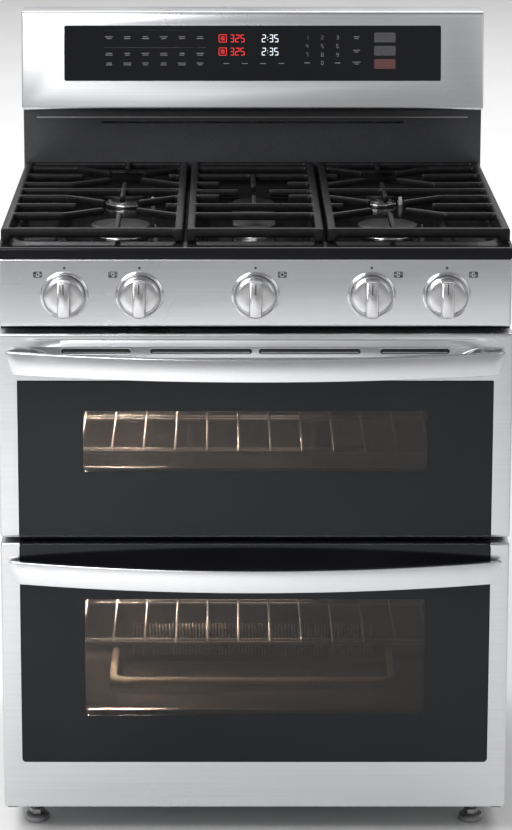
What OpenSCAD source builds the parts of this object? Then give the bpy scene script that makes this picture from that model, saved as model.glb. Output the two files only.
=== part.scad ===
// Freestanding gas range: two drop-down ovens, five sealed burners, backguard console.
// Millimetres. Origin on the floor under the middle of the body. +Z up, -Y is the door side.

/* [Overall] */
// Width across the doors
range_w = 759; // [757:1:761]
// Height to the top of the console
range_h = 1196; // [1190:1:1200]
// Height of the cooktop rim
cooktop_z = 924; // [922:1:926]
// Depth from the door faces to the rear cover
body_d = 683; // [681:1:686]

/* [Doors] */
// Lower edge of the lower door
lower_door_z = 58; // [57:1:59]
// Height of the lower door
lower_door_h = 418; // [416:1:419]
// Lower edge of the upper door
upper_door_z = 484.3; // [484:0.1:485]
// Height of the upper door
upper_door_h = 311.7; // [310:0.1:313]
// Thickness of a door
door_t = 47.5; // [46:0.5:48]
// How far a handle's middle stands out from its door
handle_out = 62; // [60:1:63]
// Height of a handle blade
handle_h = 34; // [30:1:36]

/* [Ovens] */
// Inner width of both ovens
oven_w = 600; // [596:1:602]
// Inner depth of both ovens
oven_d = 476; // [470:1:480]
// Floor height of the upper oven
upper_oven_z = 532; // [531:1:534]
// Inner height of the upper oven
upper_oven_h = 212; // [208:1:213]
// Floor height of the lower oven
lower_oven_z = 112; // [111:1:114]
// Inner height of the lower oven
lower_oven_h = 331; // [328:1:332]

/* [Cooktop] */
// Distance of the outer burners from the middle
burner_x = 205; // [203:1:207]
// Front burners, behind the door faces
front_burner_d = 240; // [238:1:242]
// Rear burners, behind the door faces
rear_burner_d = 498; // [496:1:500]
// Height of the grates above the rim
grate_rise = 21; // [20:1:22]

/* [Controls] */
// Height of the knob centres
knob_z = 853; // [852:1:854]
// Diameter of a knob's round base
knob_d = 60; // [58:1:60]
// How far a knob pushes in
knob_push = 3; // [2:0.5:3]

/* [Hidden] */
$fn = 48;

half_w = range_w / 2;
rear_y = (body_d + handle_out) / 2;
door_y = rear_y - body_d;
door_back_y = door_y + door_t;
sheet = 1.5;
fit = 0.06;
gap = 0.3;
// front frame
frame_y = door_back_y + 5;
frame_t = 2;
body_w = range_w - 2;
body_front_y = frame_y + frame_t;
body_z = 36;
base_h = 20;
base_inset = 3;
base_t = 2;
side_flange = 15;
rear_lap = 2;
screw_head_t = 0.8;
screw_head_r = 5;
screw_r = 2;
// how far a cutter runs past a thin sheet
cut = 5;
// vent slots in the rear covers: count each side of the middle, pitch, half width, height
LOWER_LOUVRES = [4, 60, 20, 700];
UPPER_LOUVRES = [3, 80, 25, 1150];
louvre_h = 6;
// the two rear covers meet here
rear_joint = cooktop_z - 25;
// levelling feet
foot_r = 5;
foot_boss_r = 15;
foot_len = 92;
foot_pad_h = 10;
foot_pad_r = 19;
foot_nut_h = 18;
foot_nut_r = 11;
foot_x = body_w / 2 - 42;
foot_front_y = body_front_y + 45;
foot_rear_y = rear_y - 50;
FOOT_AT = [
    [-foot_x, foot_front_y], [foot_x, foot_front_y],
    [-foot_x, foot_rear_y], [foot_x, foot_rear_y]
];
// ovens
oven_y = frame_y + frame_t;
oven_back_y = oven_y + oven_d;
blanket = 26;
blanket_gap = 2;
blanket_front_y = oven_y + 5;
lamp_x = -200;
lamp_drop = 40;
lamp_r = 19;
socket_r = 13;
shaft_r = 4;
motor_r = 40;
upper_rack_z = upper_oven_z + 60;
lower_rack_z = lower_oven_z + 178;
// floor and height of each oven
OVENS = [[upper_oven_z, upper_oven_h], [lower_oven_z, lower_oven_h]];
rack_rod = 6;
wire_r = 2;
rack_front_y = oven_y + 22;
rack_d = 400;
rack_pitch = 48;
ledge_w = 14;
ledge_h = 4;
lower_ledges = [54, 116, 178, 240];
upper_ledges = [60, 104, 148];
ledge_front = 10;
ledge_rear = 20;
// gaskets: strip width, and how far its inner edge stands off the oven's mouth
gasket_w = 8;
gasket_side = 8;
gasket_end = 5;
gasket_r = 12;
// doors
skin_depth = 34;
liner_y = door_y + skin_depth + 1;
liner_inset = 12;
liner_low = 2;
liner_high = 8;
glass_corner = 6;
// door swing
axis_y = door_y + 10;
axis_rise = 8;
hinge_x = 335;
arm_t = 6;
arm_slot_h = 12;
arm_reach = 25;
arm_plate_half = 14;
pin_r = 3;
eye_r = 5;
pin_run = 7;
slot_half = 13;
blade_half = 7;
blade_sheet = 2;
blade_h = 90;
// cooktop
pan_top = cooktop_z;
pan_shelf = cooktop_z - 9;
pan_floor = cooktop_z - 30;
pan_t = 2;
lip_h = 16;
pan_front_y = door_y + 1.5;
pan_rear_y = door_y + 619;
rim_inner_x = half_w - 30;
well_front_y = door_y + 72;
well_rear_y = door_y + 566;
well_w = 186;
centre_well_w = 168;
well_r = 24;
shelf_r = 22;
shelf_front_y = pan_front_y + 54;
shelf_rear_y = pan_rear_y - 10;
// burner parts
mixer_r = 15;
mixer_h = 14;
foot_ring_h = 7;
head_h = 14;
head_step = 6;
cap_h = 7;
cap_rim_h = 4;
cap_step = 3;
cap_z = pan_floor + head_h;
igniter_gap = 6;
igniter_r = 4;
igniter_h = 13;
igniter_tip_r = 1.5;
igniter_tip_h = 18;
front_burner_y = door_y + front_burner_d;
rear_burner_y = door_y + rear_burner_d;
oval_y = door_y + 335;
oval_len = 250;
oval_w = 68;
// burners: x, y, cap radius
BURNERS = [
    [-burner_x, front_burner_y, 47],
    [-burner_x, rear_burner_y, 37],
    [burner_x, front_burner_y, 47],
    [burner_x, rear_burner_y, 28]
];
// grates
grate_top = cooktop_z + grate_rise;
bar_h = 12;
bar_w = 9;
side_grate_w = 270;
centre_grate_w = 203;
side_grate_x = 106;
// places behind the door faces: front bar, ends of the side rails, rows of feet
grate_front_d = 48;
RAIL_D = [42, 616];
FOOT_D = [371, 598];
rail_w = 14;
front_bar_w = 12;
front_bar_h = 15;
// bent fingers, measured from their burner: knee and tip, across and along
KNEE = [84, 73];
TIP = [26, 30];
// straight bars of the side grates, and the ends of the bars along Y over each burner
SIDE_BARS = [371, 611];
FRONT_REACH = [[48, 171], [305, 371]];
REAR_REACH = [[371, 428], [566, 611]];
// centre grate: full bars, then short bars as place and reach, then bars along Y
CENTRE_BARS = [168, 243, 501, 573, 611];
CENTRE_SHORT = [[428, 54], [316, 54], [361, 24]];
CENTRE_LONG = [[243, 316], [399, 501]];
// control panel
panel_y = door_y + 2.5;
panel_low = 805.8;
panel_high = cooktop_z - lip_h - gap;
panel_w = range_w - 8;
KNOB_X = [-280, -170, 0, 170, 280];
panel_slot_x = 40;
stem_r = 4;
knob_front = 36;
knob_step = 13;
knob_skirt = 10;
knob_bore = 22;
grip_half = 10;
bezel_r = 35.5;
manifold_y = door_y + 66;
manifold_r = 11;
// backguard
console_low = 1037;
console_face_low = door_y + 578;
console_face_high = door_y + 603;
console_w = 756;
console_rear_y = rear_y - 2.2;
riser_y = door_y + 619;
riser_high = 1031;
glass_t = 4;
face_tilt = atan((console_face_high - console_face_low) / (range_h - console_low));
inlet_x = 250;
inlet_z = 190;
inlet_r = 9.5;
cord_x = -250;
cord_z = 120;
cord_r = 11;
bush_len = 5;
bush_wall = 5;
motor_z = lower_oven_z + 122;

// ---------- shared shapes ----------

// Corner-to-corner box
module block(lo, hi) {
    translate(lo) cube(hi - lo);
}

// Outline of a rectangle with round corners, centred
function round_rect(w, h, r, n = 6) = [
    for (c = [[1, 1, 0], [-1, 1, 90], [-1, -1, 180], [1, -1, 270]])
        for (i = [0 : n])
            [c[0] * (w / 2 - r) + r * cos(c[2] + 90 * i / n),
             c[1] * (h / 2 - r) + r * sin(c[2] + 90 * i / n)]
];

// Upright slab in the X-Z plane from y0 to y1 with round corners
module slab(w, z0, z1, y0, y1, r) {
    translate([0, y1, (z0 + z1) / 2]) rotate([90, 0, 0])
        linear_extrude(y1 - y0) polygon(round_rect(w, z1 - z0, r));
}

// Flat slab in the X-Y plane from z0 to z1 with round corners
module plate(x, y0, y1, w, z0, z1, r) {
    translate([x, (y0 + y1) / 2, z0])
        linear_extrude(z1 - z0) polygon(round_rect(w, y1 - y0, r));
}

// Cylinder along Y from y0 to y1
module rod_y(x, y0, y1, z, r) {
    translate([x, y1, z]) rotate([90, 0, 0]) cylinder(h = y1 - y0, r = r);
}

// Cylinder along X from x0 to x1
module rod_x(x0, x1, y, z, r) {
    translate([x0, y, z]) rotate([0, 90, 0]) cylinder(h = x1 - x0, r = r);
}

// ---------- cabinet ----------

module side_panels() {
    color("dimgray") for (s = [-1, 1]) scale_x(s) difference() {
        block([body_w / 2 - side_flange, body_front_y, body_z],
              [body_w / 2, rear_y - rear_lap, cooktop_z - lip_h - 1]);
        block([body_w / 2 - side_flange - 1, body_front_y + sheet, body_z - 1],
              [body_w / 2 - sheet, rear_y - rear_lap - sheet, cooktop_z]);
    }
}

module scale_x(s) {
    if (s < 0) mirror([1, 0, 0]) children();
    else children();
}

// Cutters for one row of vent slots
module louvres(row) {
    for (i = [-row[0] : row[0]])
        block([i * row[1] - row[2], rear_y - cut, row[3]],
              [i * row[1] + row[2], rear_y + cut, row[3] + louvre_h]);
}

module rear_panels() {
    cover_y = rear_y - screw_head_t;
    color("silver") {
        difference() {
            block([-body_w / 2 + 1, rear_y - rear_lap, body_z + 4],
                  [body_w / 2 - 1, cover_y, rear_joint - 1]);
            rod_y(inlet_x, rear_y - cut, rear_y + cut, inlet_z, inlet_r + 14);
            rod_y(cord_x, rear_y - cut, rear_y + cut, cord_z, cord_r);
            louvres(LOWER_LOUVRES);
        }
        difference() {
            block([-console_w / 2 + 4, rear_y - rear_lap, rear_joint + 1],
                  [console_w / 2 - 4, cover_y, range_h - 8]);
            louvres(UPPER_LOUVRES);
        }
        difference() {
            rod_y(cord_x, rear_y - bush_len, rear_y, cord_z, cord_r - gap);
            rod_y(cord_x, rear_y - bush_len - 1, rear_y + 1, cord_z, cord_r - bush_wall);
        }
    }
}

module base_frame() {
    half = body_w / 2 - base_inset;
    color("gray") difference() {
        union() {
            difference() {
                block([-half, body_front_y + base_t, body_z], [half, rear_y - 2 * base_t, body_z + base_h]);
                block([-half + base_t, body_front_y + 2 * base_t, body_z - 1],
                      [half - base_t, rear_y - 3 * base_t, body_z + base_h - base_t]);
            }
            for (p = FOOT_AT) translate([p[0], p[1], body_z]) cylinder(h = base_h - 1, r = foot_boss_r);
        }
        for (p = FOOT_AT) translate([p[0], p[1], body_z - 1]) cylinder(h = base_h + 2, r = foot_r + fit);
    }
}

module foot(i) {
    color("dimgray") translate([FOOT_AT[i][0], FOOT_AT[i][1], 0]) {
        cylinder(h = foot_pad_h, r = foot_pad_r);
        cylinder(h = foot_nut_h, r = foot_nut_r, $fn = 6);
        cylinder(h = foot_len, r = foot_r);
    }
}

module oven_hole(z, h) {
    block([-oven_w / 2, frame_y - 1, z], [oven_w / 2, frame_y + frame_t + 1, z + h]);
}

module front_frame() {
    half = body_w / 2 - frame_t;
    color("black") difference() {
        block([-half, frame_y, lower_door_z - 10], [half, frame_y + frame_t, panel_low - 3]);
        oven_hole(upper_oven_z, upper_oven_h);
        oven_hole(lower_oven_z, lower_oven_h);
        for (z = [lower_door_z, upper_door_z]) for (s = [-1, 1])
            translate([s * hinge_x, frame_y, z + axis_rise])
                cube([arm_t + 1, 3 * frame_t, arm_slot_h], center = true);
    }
}

// Enamelled box, open at the front, with ledges that carry the racks
module cavity(z, h, ledges) {
    difference() {
        block([-oven_w / 2 - sheet, oven_y + gap, z - sheet],
              [oven_w / 2 + sheet, oven_back_y + sheet, z + h + sheet]);
        block([-oven_w / 2, oven_y - 1, z], [oven_w / 2, oven_back_y, z + h]);
        rod_y(lamp_x, oven_back_y - 1, oven_back_y + 3, z + h - lamp_drop, lamp_r + 1);
    }
    for (s = [-1, 1]) scale_x(s) for (l = ledges)
        block([oven_w / 2 - ledge_w, oven_y + ledge_front, z + l - ledge_h],
              [oven_w / 2, oven_back_y - ledge_rear, z + l]);
}

module upper_cavity() {
    color("darkslategray") cavity(upper_oven_z, upper_oven_h, upper_ledges);
}

module lower_cavity() {
    color("darkslategray") difference() {
        cavity(lower_oven_z, lower_oven_h, lower_ledges);
        rod_y(0, oven_back_y - 1, oven_back_y + 3, motor_z, 2 * shaft_r);
    }
}

module blanket_round(z, h) {
    inner = oven_w / 2 + blanket_gap;
    difference() {
        block([-oven_w / 2 - blanket, blanket_front_y, z - blanket + 1],
              [oven_w / 2 + blanket, oven_back_y + blanket, z + h + blanket - 1]);
        block([-inner, oven_y, z - blanket_gap], [inner, oven_back_y + blanket_gap, z + h + blanket_gap]);
        rod_y(lamp_x, oven_back_y - 1, oven_back_y + blanket + 1, z + h - lamp_drop, 2 * socket_r);
    }
}

module oven_insulation() {
    color("lightyellow") {
        blanket_round(upper_oven_z, upper_oven_h);
        difference() {
            blanket_round(lower_oven_z, lower_oven_h);
            rod_y(0, oven_back_y, oven_back_y + blanket + 1, motor_z, motor_r + 8);
        }
    }
}

module door_gaskets() {
    inner_w = oven_w + 2 * gasket_side;
    outer_w = inner_w + 2 * gasket_w;
    out = gasket_end + gasket_w;
    color("dimgray") for (o = OVENS) difference() {
        slab(outer_w, o[0] - out, o[0] + o[1] + out, door_back_y + gap, frame_y, 1.5 * gasket_r);
        slab(inner_w, o[0] - gasket_end, o[0] + o[1] + gasket_end, door_back_y - 1, frame_y + 1, gasket_r);
    }
}

module hinge_arms() {
    color("silver") for (z = [lower_door_z + axis_rise, upper_door_z + axis_rise]) for (s = [-1, 1]) {
        x = s * hinge_x;
        block([x - arm_t / 2, axis_y, z - eye_r], [x + arm_t / 2, body_front_y + arm_reach, z + eye_r]);
        rod_x(x - arm_t / 2, x + arm_t / 2, axis_y, z, eye_r);
        rod_x(x - arm_t / 2 - pin_run, x + arm_t / 2 + pin_run, axis_y, z, pin_r);
        block([x - arm_plate_half, body_front_y + gap, z - 9],
              [x + arm_plate_half, body_front_y + gap + 3, z + 40]);
    }
}

// ---------- doors ----------

module door_skin(z0, h, glass_low, glass_high) {
    z1 = z0 + h;
    difference() {
        block([-half_w, door_y, z0], [half_w, door_y + skin_depth, z1]);
        block([-half_w + sheet, door_y + sheet, z0 + sheet], [half_w - sheet, liner_y, z1 - sheet]);
        slab(2 * (glass_half + gap), glass_low - gap, glass_high + gap,
             door_y - 1, door_y + sheet + 1, glass_corner);
        for (s = [-1, 1])
            block([s * hinge_x - slot_half, door_y + sheet, z0 - 1],
                  [s * hinge_x + slot_half, liner_y, z0 + sheet + 1]);
        children();
    }
}

glass_half = 351;
upper_glass_low = upper_door_z + 2.5;
upper_glass_high = 724.6;
lower_glass_low = 130.9;
lower_glass_high = lower_door_z + lower_door_h - 2.5;
// Grip scoop and vent slots in the upper door's top band
scoop_half = 312;
scoop_back = 12;
scoop_wall = 2;
scoop_low = 758;
scoop_high = 785;
vent_low = 763.6;
vent_high = 771;
VENTS = [[-286, -184], [-155, -5], [5, 155], [184, 286]];

module upper_door_skin() {
    color("silver") {
        door_skin(upper_door_z, upper_door_h, upper_glass_low, upper_glass_high) {
            block([-scoop_half, door_y - 1, scoop_low], [scoop_half, door_y + 2 * sheet, scoop_high]);
        }
        difference() {
            block([-scoop_half - scoop_wall, door_y + 0.5, scoop_low - scoop_wall],
                  [scoop_half + scoop_wall, door_y + scoop_back + scoop_wall, scoop_high + scoop_wall]);
            block([-scoop_half, door_y, scoop_low], [scoop_half, door_y + scoop_back, scoop_high]);
            for (v = VENTS) block([v[0], door_y, vent_low], [v[1], door_y + scoop_back + 3, vent_high]);
        }
    }
}

module lower_door_skin() {
    color("silver") door_skin(lower_door_z, lower_door_h, lower_glass_low, lower_glass_high);
}

module upper_door_glass() {
    color([0.05, 0.05, 0.06])
        slab(2 * glass_half, upper_glass_low, upper_glass_high, door_y, door_y + glass_t, glass_corner);
}

module lower_door_glass() {
    color([0.05, 0.05, 0.06])
        slab(2 * glass_half, lower_glass_low, lower_glass_high, door_y, door_y + glass_t, glass_corner);
}

UPPER_WINDOW = [573, 692];
LOWER_WINDOW = [192, 401];
window_w = 536;
// where the two inner panes stand behind the door's face
PANES = [18, 32];
pane_lap = 4;

module inner_glass(win) {
    for (d = PANES)
        slab(window_w, win[0] - pane_lap, win[1] + pane_lap, door_y + d, door_y + d + glass_t, pane_lap);
}

module upper_door_inner_glass() {
    color("lightgray") inner_glass(UPPER_WINDOW);
}

module lower_door_inner_glass() {
    color("lightgray") inner_glass(LOWER_WINDOW);
}

// Stamped pan that closes a door's back and frames its window
module door_liner(z0, h, win) {
    low = z0 + liner_low;
    high = z0 + h - liner_high;
    half = half_w - liner_inset;
    difference() {
        block([-half, liner_y, low], [half, door_back_y, high]);
        difference() {
            block([-half + sheet, liner_y - 1, low + sheet],
                  [half - sheet, door_back_y - sheet, high - sheet]);
            slab(window_w + 20, win[0] - 14, win[1] + 14, liner_y - 2, door_back_y + 1, 10);
        }
        slab(window_w - 20, win[0] + 6, win[1] - 6, liner_y - cut, door_back_y + 1, 8);
        slab(window_w + 2, win[0] - 5, win[1] + 5, liner_y - cut, liner_y + 1 + gap, 5);
        for (s = [-1, 1])
            block([s * hinge_x - slot_half, liner_y - 1, z0 - 1],
                  [s * hinge_x + slot_half, door_back_y + 1, z0 + axis_rise + 7]);
    }
}

module upper_door_liner() {
    color("darkgray") door_liner(upper_door_z, upper_door_h, UPPER_WINDOW);
}

module lower_door_liner() {
    color("darkgray") door_liner(lower_door_z, lower_door_h, LOWER_WINDOW);
}

// Bowed blade on two end brackets
handle_half = 368;
handle_sag = 48;
handle_r = (handle_half * handle_half + handle_sag * handle_sag) / (2 * handle_sag);
blade_t = 9;
blade_rake = 12;
blade_fn = 250;
BRACKET_X = [325, 352];
bracket_out = 18;
bracket_inset = 8;

module door_handle(z0) {
    centre_y = door_y - handle_out + handle_r;
    foot_half = handle_half - blade_rake;
    intersection() {
        translate([0, centre_y, z0]) difference() {
            cylinder(h = handle_h, r = handle_r, $fn = blade_fn);
            translate([0, 0, -1]) cylinder(h = handle_h + 2, r = handle_r - blade_t, $fn = blade_fn);
        }
        translate([0, door_y - 1, z0]) rotate([90, 0, 0]) linear_extrude(handle_out + 2)
            polygon([[-foot_half, 0], [foot_half, 0], [handle_half, handle_h], [-handle_half, handle_h]]);
    }
    for (s = [-1, 1]) scale_x(s) {
        block([BRACKET_X[0], door_y - bracket_out, z0 + bracket_inset],
              [BRACKET_X[1], door_y, z0 + handle_h - bracket_inset]);
    }
}

upper_handle_z = 737;
lower_handle_z = 417;

module upper_door_handle() {
    color("gainsboro") door_handle(upper_handle_z);
}

module lower_door_handle() {
    color("gainsboro") door_handle(lower_handle_z);
}

// Two blade channels whose eyes turn on the pins of the hinge arms
module door_hinges(z0) {
    z = z0 + axis_rise;
    back_y = axis_y + 20;
    for (s = [-1, 1]) {
        x = s * hinge_x;
        difference() {
            union() {
                for (k = [-1, 1])
                    block([x + k * blade_half - blade_sheet, axis_y - 6, z - eye_r],
                          [x + k * blade_half + blade_sheet, back_y, z + blade_h]);
                block([x - blade_half - blade_sheet, back_y - blade_sheet, z + 10],
                      [x + blade_half + blade_sheet, back_y, z + blade_h]);
            }
            rod_x(x - slot_half + 1, x + slot_half - 1, axis_y, z, pin_r + fit);
        }
    }
}

module upper_door_hinges() {
    color("gray") door_hinges(upper_door_z);
}

module lower_door_hinges() {
    color("gray") door_hinges(lower_door_z);
}

// ---------- cooktop ----------

WELLS = [[-burner_x, well_w], [0, centre_well_w], [burner_x, well_w]];

// The wells' outlines as blocks, grown all round
module wells(z0, z1, grow) {
    for (w = WELLS)
        plate(w[0], well_front_y - grow, well_rear_y + grow, w[1] + 2 * grow, z0, z1, well_r + grow);
}

// The sunken shelf's outline as a block, grown all round
module shelf(z0, z1, grow) {
    plate(0, shelf_front_y - grow, shelf_rear_y + grow, 2 * (rim_inner_x + grow), z0, z1, shelf_r + grow);
}

module mixer_hole(x, y) {
    translate([x, y, pan_floor - cut]) cylinder(h = 2 * cut, r = mixer_r + 1);
}

// One pressed sheet: rim, sunken shelf and three wells, with a lip round the edge
module cooktop_pan() {
    color([0.08, 0.08, 0.09]) difference() {
        union() {
            block([-half_w + 1, pan_front_y, pan_top - lip_h], [half_w - 1, pan_rear_y, pan_top]);
            wells(pan_floor - pan_t, pan_shelf, pan_t);
        }
        difference() {
            block([-half_w + 3, pan_front_y + pan_t, pan_top - lip_h - 1],
                  [half_w - 3, pan_rear_y - pan_t, pan_top - pan_t]);
            shelf(pan_shelf - pan_t, pan_top, pan_t);
            wells(pan_floor - pan_t, pan_top, pan_t);
        }
        shelf(pan_shelf, pan_top + 1, 0);
        wells(pan_floor, pan_top, 0);
        for (b = BURNERS) mixer_hole(b[0], b[1]);
        mixer_hole(0, oval_y);
    }
}

// Outline of the long oval burner
module oval(w, l, z0, z1) {
    for (s = [-1, 1]) translate([0, oval_y + s * (l - w) / 2, z0]) cylinder(h = z1 - z0, r = w / 2);
    block([-w / 2, oval_y - (l - w) / 2, z0], [w / 2, oval_y + (l - w) / 2, z1]);
}

module burner_bases() {
    color("silver") {
        for (b = BURNERS) translate([b[0], b[1], pan_floor]) {
            cylinder(h = foot_ring_h, r = b[2] - 2);
            cylinder(h = head_h, r = b[2] - 2 - head_step);
            translate([0, 0, -mixer_h]) cylinder(h = mixer_h + 1, r = mixer_r);
        }
        oval(oval_w - 2, oval_len - 2, pan_floor, pan_floor + foot_ring_h);
        oval(oval_w - 2 - 2 * head_step, oval_len - 2 - 2 * head_step,
             pan_floor + foot_ring_h - 1, pan_floor + head_h);
        translate([0, oval_y, pan_floor - mixer_h]) cylinder(h = mixer_h + 1, r = mixer_r);
    }
}

// Ceramic spark igniters, one beside each burner
module burner_igniters() {
    color("white") {
        for (b = BURNERS) translate([b[0] + b[2] + igniter_gap, b[1], pan_floor]) {
            cylinder(h = igniter_h, r = igniter_r);
            cylinder(h = igniter_tip_h, r = igniter_tip_r);
        }
        translate([0, oval_y - oval_len / 2 - 2 * igniter_r, pan_floor])
            cylinder(h = igniter_h, r = igniter_r);
    }
}

// Round cap with a rolled edge
module burner_cap(i) {
    b = BURNERS[i];
    color([0.13, 0.13, 0.14]) translate([b[0], b[1], cap_z]) {
        cylinder(h = cap_rim_h, r = b[2]);
        cylinder(h = cap_h, r = b[2] - cap_step);
    }
}

module cap_left_front() {
    burner_cap(0);
}

module cap_left_rear() {
    burner_cap(1);
}

module cap_right_front() {
    burner_cap(2);
}

module cap_right_rear() {
    burner_cap(3);
}

module cap_oval() {
    color([0.13, 0.13, 0.14]) {
        oval(oval_w, oval_len, cap_z, cap_z + cap_rim_h);
        oval(oval_w - 2 * cap_step, oval_len - 2 * cap_step, cap_z + cap_rim_h - 1, cap_z + cap_h);
    }
}

// Flat bar between two points at the grate's top, run on a little at its start
module bar(a, b, w = bar_w, drop = bar_h, lead = 0) {
    len = norm(b - a);
    turn = atan2(b[1] - a[1], b[0] - a[0]);
    translate([a[0], a[1], grate_top - drop]) rotate([0, 0, turn])
        translate([-lead, -w / 2, 0]) cube([len + lead, w, drop]);
}

function dy(d) = door_y + d;

module grate_foot(x, d, z) {
    block([x - rail_w / 2, dy(d) - front_bar_w / 2, z],
          [x + rail_w / 2, dy(d) + front_bar_w / 2, grate_top - bar_h]);
}

// Full-width bars and side rails shared by every grate
module grate_frame(x0, x1, bars) {
    for (d = bars) bar([x0, dy(d)], [x1, dy(d)]);
    bar([x0, dy(grate_front_d)], [x1, dy(grate_front_d)], front_bar_w, front_bar_h);
    for (x = [x0 + rail_w / 2, x1 - rail_w / 2]) {
        bar([x, dy(RAIL_D[0])], [x, dy(RAIL_D[1])], rail_w, bar_h + 2);
        foot_z = abs(x) > rim_inner_x ? pan_top : pan_shelf;
        grate_foot(x, grate_front_d, pan_top);
        for (d = FOOT_D) grate_foot(x, d, foot_z);
    }
}

// Four bent fingers that point at a burner, and the straight ones between them
module grate_fingers(x0, x1, bx, d, reach) {
    for (side = [[x0, -1], [x1, 1]]) for (k = [-1, 1]) {
        knee = [bx + side[1] * KNEE[0], dy(d + k * KNEE[1])];
        bar([side[0] + side[1] * -3, knee[1]], knee, bar_w, bar_h - 0.4);
        bar(knee, [bx + side[1] * TIP[0], dy(d + k * TIP[1])], bar_w - 0.6, bar_h - 0.6, 2.5);
        if (k > 0) bar([side[0], dy(d + 3)], [bx + side[1] * 68, dy(d + 3)]);
    }
    for (r = reach) bar([bx, dy(r[0])], [bx, dy(r[1])]);
}

module side_grate() {
    x1 = side_grate_x + side_grate_w;
    grate_frame(side_grate_x, x1, SIDE_BARS);
    grate_fingers(side_grate_x, x1, burner_x, front_burner_d, FRONT_REACH);
    grate_fingers(side_grate_x, x1, burner_x, rear_burner_d, REAR_REACH);
}

module grate_left() {
    color([0.16, 0.16, 0.17]) mirror([1, 0, 0]) side_grate();
}

module grate_right() {
    color([0.16, 0.16, 0.17]) side_grate();
}

module grate_centre() {
    h = centre_grate_w / 2;
    color([0.16, 0.16, 0.17]) {
        grate_frame(-h, h, CENTRE_BARS);
        for (s = [-1, 1]) for (f = CENTRE_SHORT) bar([s * h, dy(f[0])], [s * f[1], dy(f[0])]);
        for (f = CENTRE_LONG) bar([0, dy(f[0])], [0, dy(f[1])]);
    }
}

// ---------- gas and controls ----------

module control_panel() {
    color("lightgray") difference() {
        block([-panel_w / 2, panel_y, panel_low], [panel_w / 2, frame_y, panel_high]);
        block([-panel_w / 2 + sheet, panel_y + sheet, panel_low + sheet],
              [panel_w / 2 - sheet, frame_y + 1, panel_high - sheet]);
        for (x = KNOB_X) rod_y(x, panel_y - 1, panel_y + 3, knob_z, 9);
        block([-panel_w / 2 + panel_slot_x, panel_y + 20, panel_low - 1],
              [panel_w / 2 - panel_slot_x, panel_y + 28, panel_low + 2]);
    }
}

// Chrome rings round the knobs
module knob_bezels() {
    color("whitesmoke") for (x = KNOB_X) difference() {
        union() {
            rod_y(x, panel_y - 2.5, panel_y, knob_z, bezel_r);
            rod_y(x, panel_y - 4.5, panel_y - 2, knob_z, bezel_r - 1.5);
        }
        rod_y(x, panel_y - 6, panel_y + 1, knob_z, knob_d / 2 + 1);
    }
}

valve_y0 = panel_y + 22;
valve_y1 = manifold_y - manifold_r + 1;
manifold_half = 300;
// supply pipe: up from the regulator, then forwards along the right side
pipe_w = 12;
pipe_low = knob_z - 22;
pipe_high = pipe_low + pipe_w;
run_x = 352;
drop_y = rear_y - 42;
regulator_half = 26;

// Supply regulator, pipe to the front, manifold pipe and five valve bodies
module gas_manifold() {
    color("goldenrod") {
        difference() {
            union() {
                rod_x(-manifold_half, manifold_half, manifold_y, knob_z - 14, manifold_r);
                for (x = KNOB_X) block([x - 11, valve_y0, knob_z - 25], [x + 11, valve_y1 + 6, knob_z + 12]);
            }
            for (x = KNOB_X) rod_y(x, valve_y0 - 1, valve_y0 + 20, knob_z, stem_r + fit);
        }
        block([run_x - pipe_w, manifold_y - 8, pipe_low], [run_x, drop_y + pipe_w, pipe_high]);
        block([manifold_half - 2, manifold_y - 8, pipe_low], [run_x, manifold_y + 8, pipe_high]);
        block([inlet_x - 8, drop_y, pipe_low], [run_x, drop_y + pipe_w, pipe_high]);
        block([inlet_x - 8, drop_y, inlet_z + 20], [inlet_x + 8, drop_y + pipe_w, pipe_high]);
        difference() {
            union() {
                block([inlet_x - regulator_half, rear_y - 52, inlet_z - regulator_half],
                      [inlet_x + regulator_half, rear_y - 18, inlet_z + regulator_half]);
                rod_y(inlet_x, rear_y - 20, rear_y - 1, inlet_z, inlet_r + 6);
            }
            rod_y(inlet_x, rear_y - regulator_half, rear_y, inlet_z, inlet_r);
        }
    }
}

module valve_stem(i) {
    color("silver") rod_y(KNOB_X[i], panel_y - knob_bore, valve_y0 + 14, knob_z, stem_r);
}

module valve_stem_1() {
    valve_stem(0);
}

module valve_stem_2() {
    valve_stem(1);
}

module valve_stem_3() {
    valve_stem(2);
}

module valve_stem_4() {
    valve_stem(3);
}

module valve_stem_5() {
    valve_stem(4);
}

// Round base, raised grip bar and the bore for its stem
module knob(i) {
    x = KNOB_X[i];
    root_y = panel_y - knob_skirt + 1;
    color("silver") difference() {
        union() {
            rod_y(x, panel_y - knob_skirt, panel_y - knob_push - 1, knob_z, knob_d / 2);
            rod_y(x, panel_y - knob_step, root_y, knob_z, knob_d / 2 - 2);
            intersection() {
                rod_y(x, panel_y - knob_front, root_y, knob_z, knob_d / 2 - 2);
                block([x - grip_half, panel_y - knob_front, knob_z - 30],
                      [x + grip_half, root_y, knob_z + 30]);
            }
        }
        rod_y(x, panel_y - knob_bore, panel_y, knob_z, stem_r + fit);
    }
}

module knob_1() {
    knob(0);
}

module knob_2() {
    knob(1);
}

module knob_3() {
    knob(2);
}

module knob_4() {
    knob(3);
}

module knob_5() {
    knob(4);
}

// ---------- backguard ----------

// Side profile of the console, extruded across the range
module console_profile(w, grow) {
    translate([-w / 2, 0, 0]) rotate([90, 0, 90]) linear_extrude(w) polygon([
        [console_face_low - grow, console_low - grow],
        [console_face_high - grow, range_h + grow],
        [console_rear_y, range_h + grow],
        [console_rear_y, console_low - grow]
    ]);
}

// Point on the console face: u across, v up the slope, n outward
module on_face() {
    translate([0, console_face_low, console_low]) rotate([-face_tilt, 0, 0]) children();
}

glass_w = 616;
glass_lo = 48;
glass_hi = 138;

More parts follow.
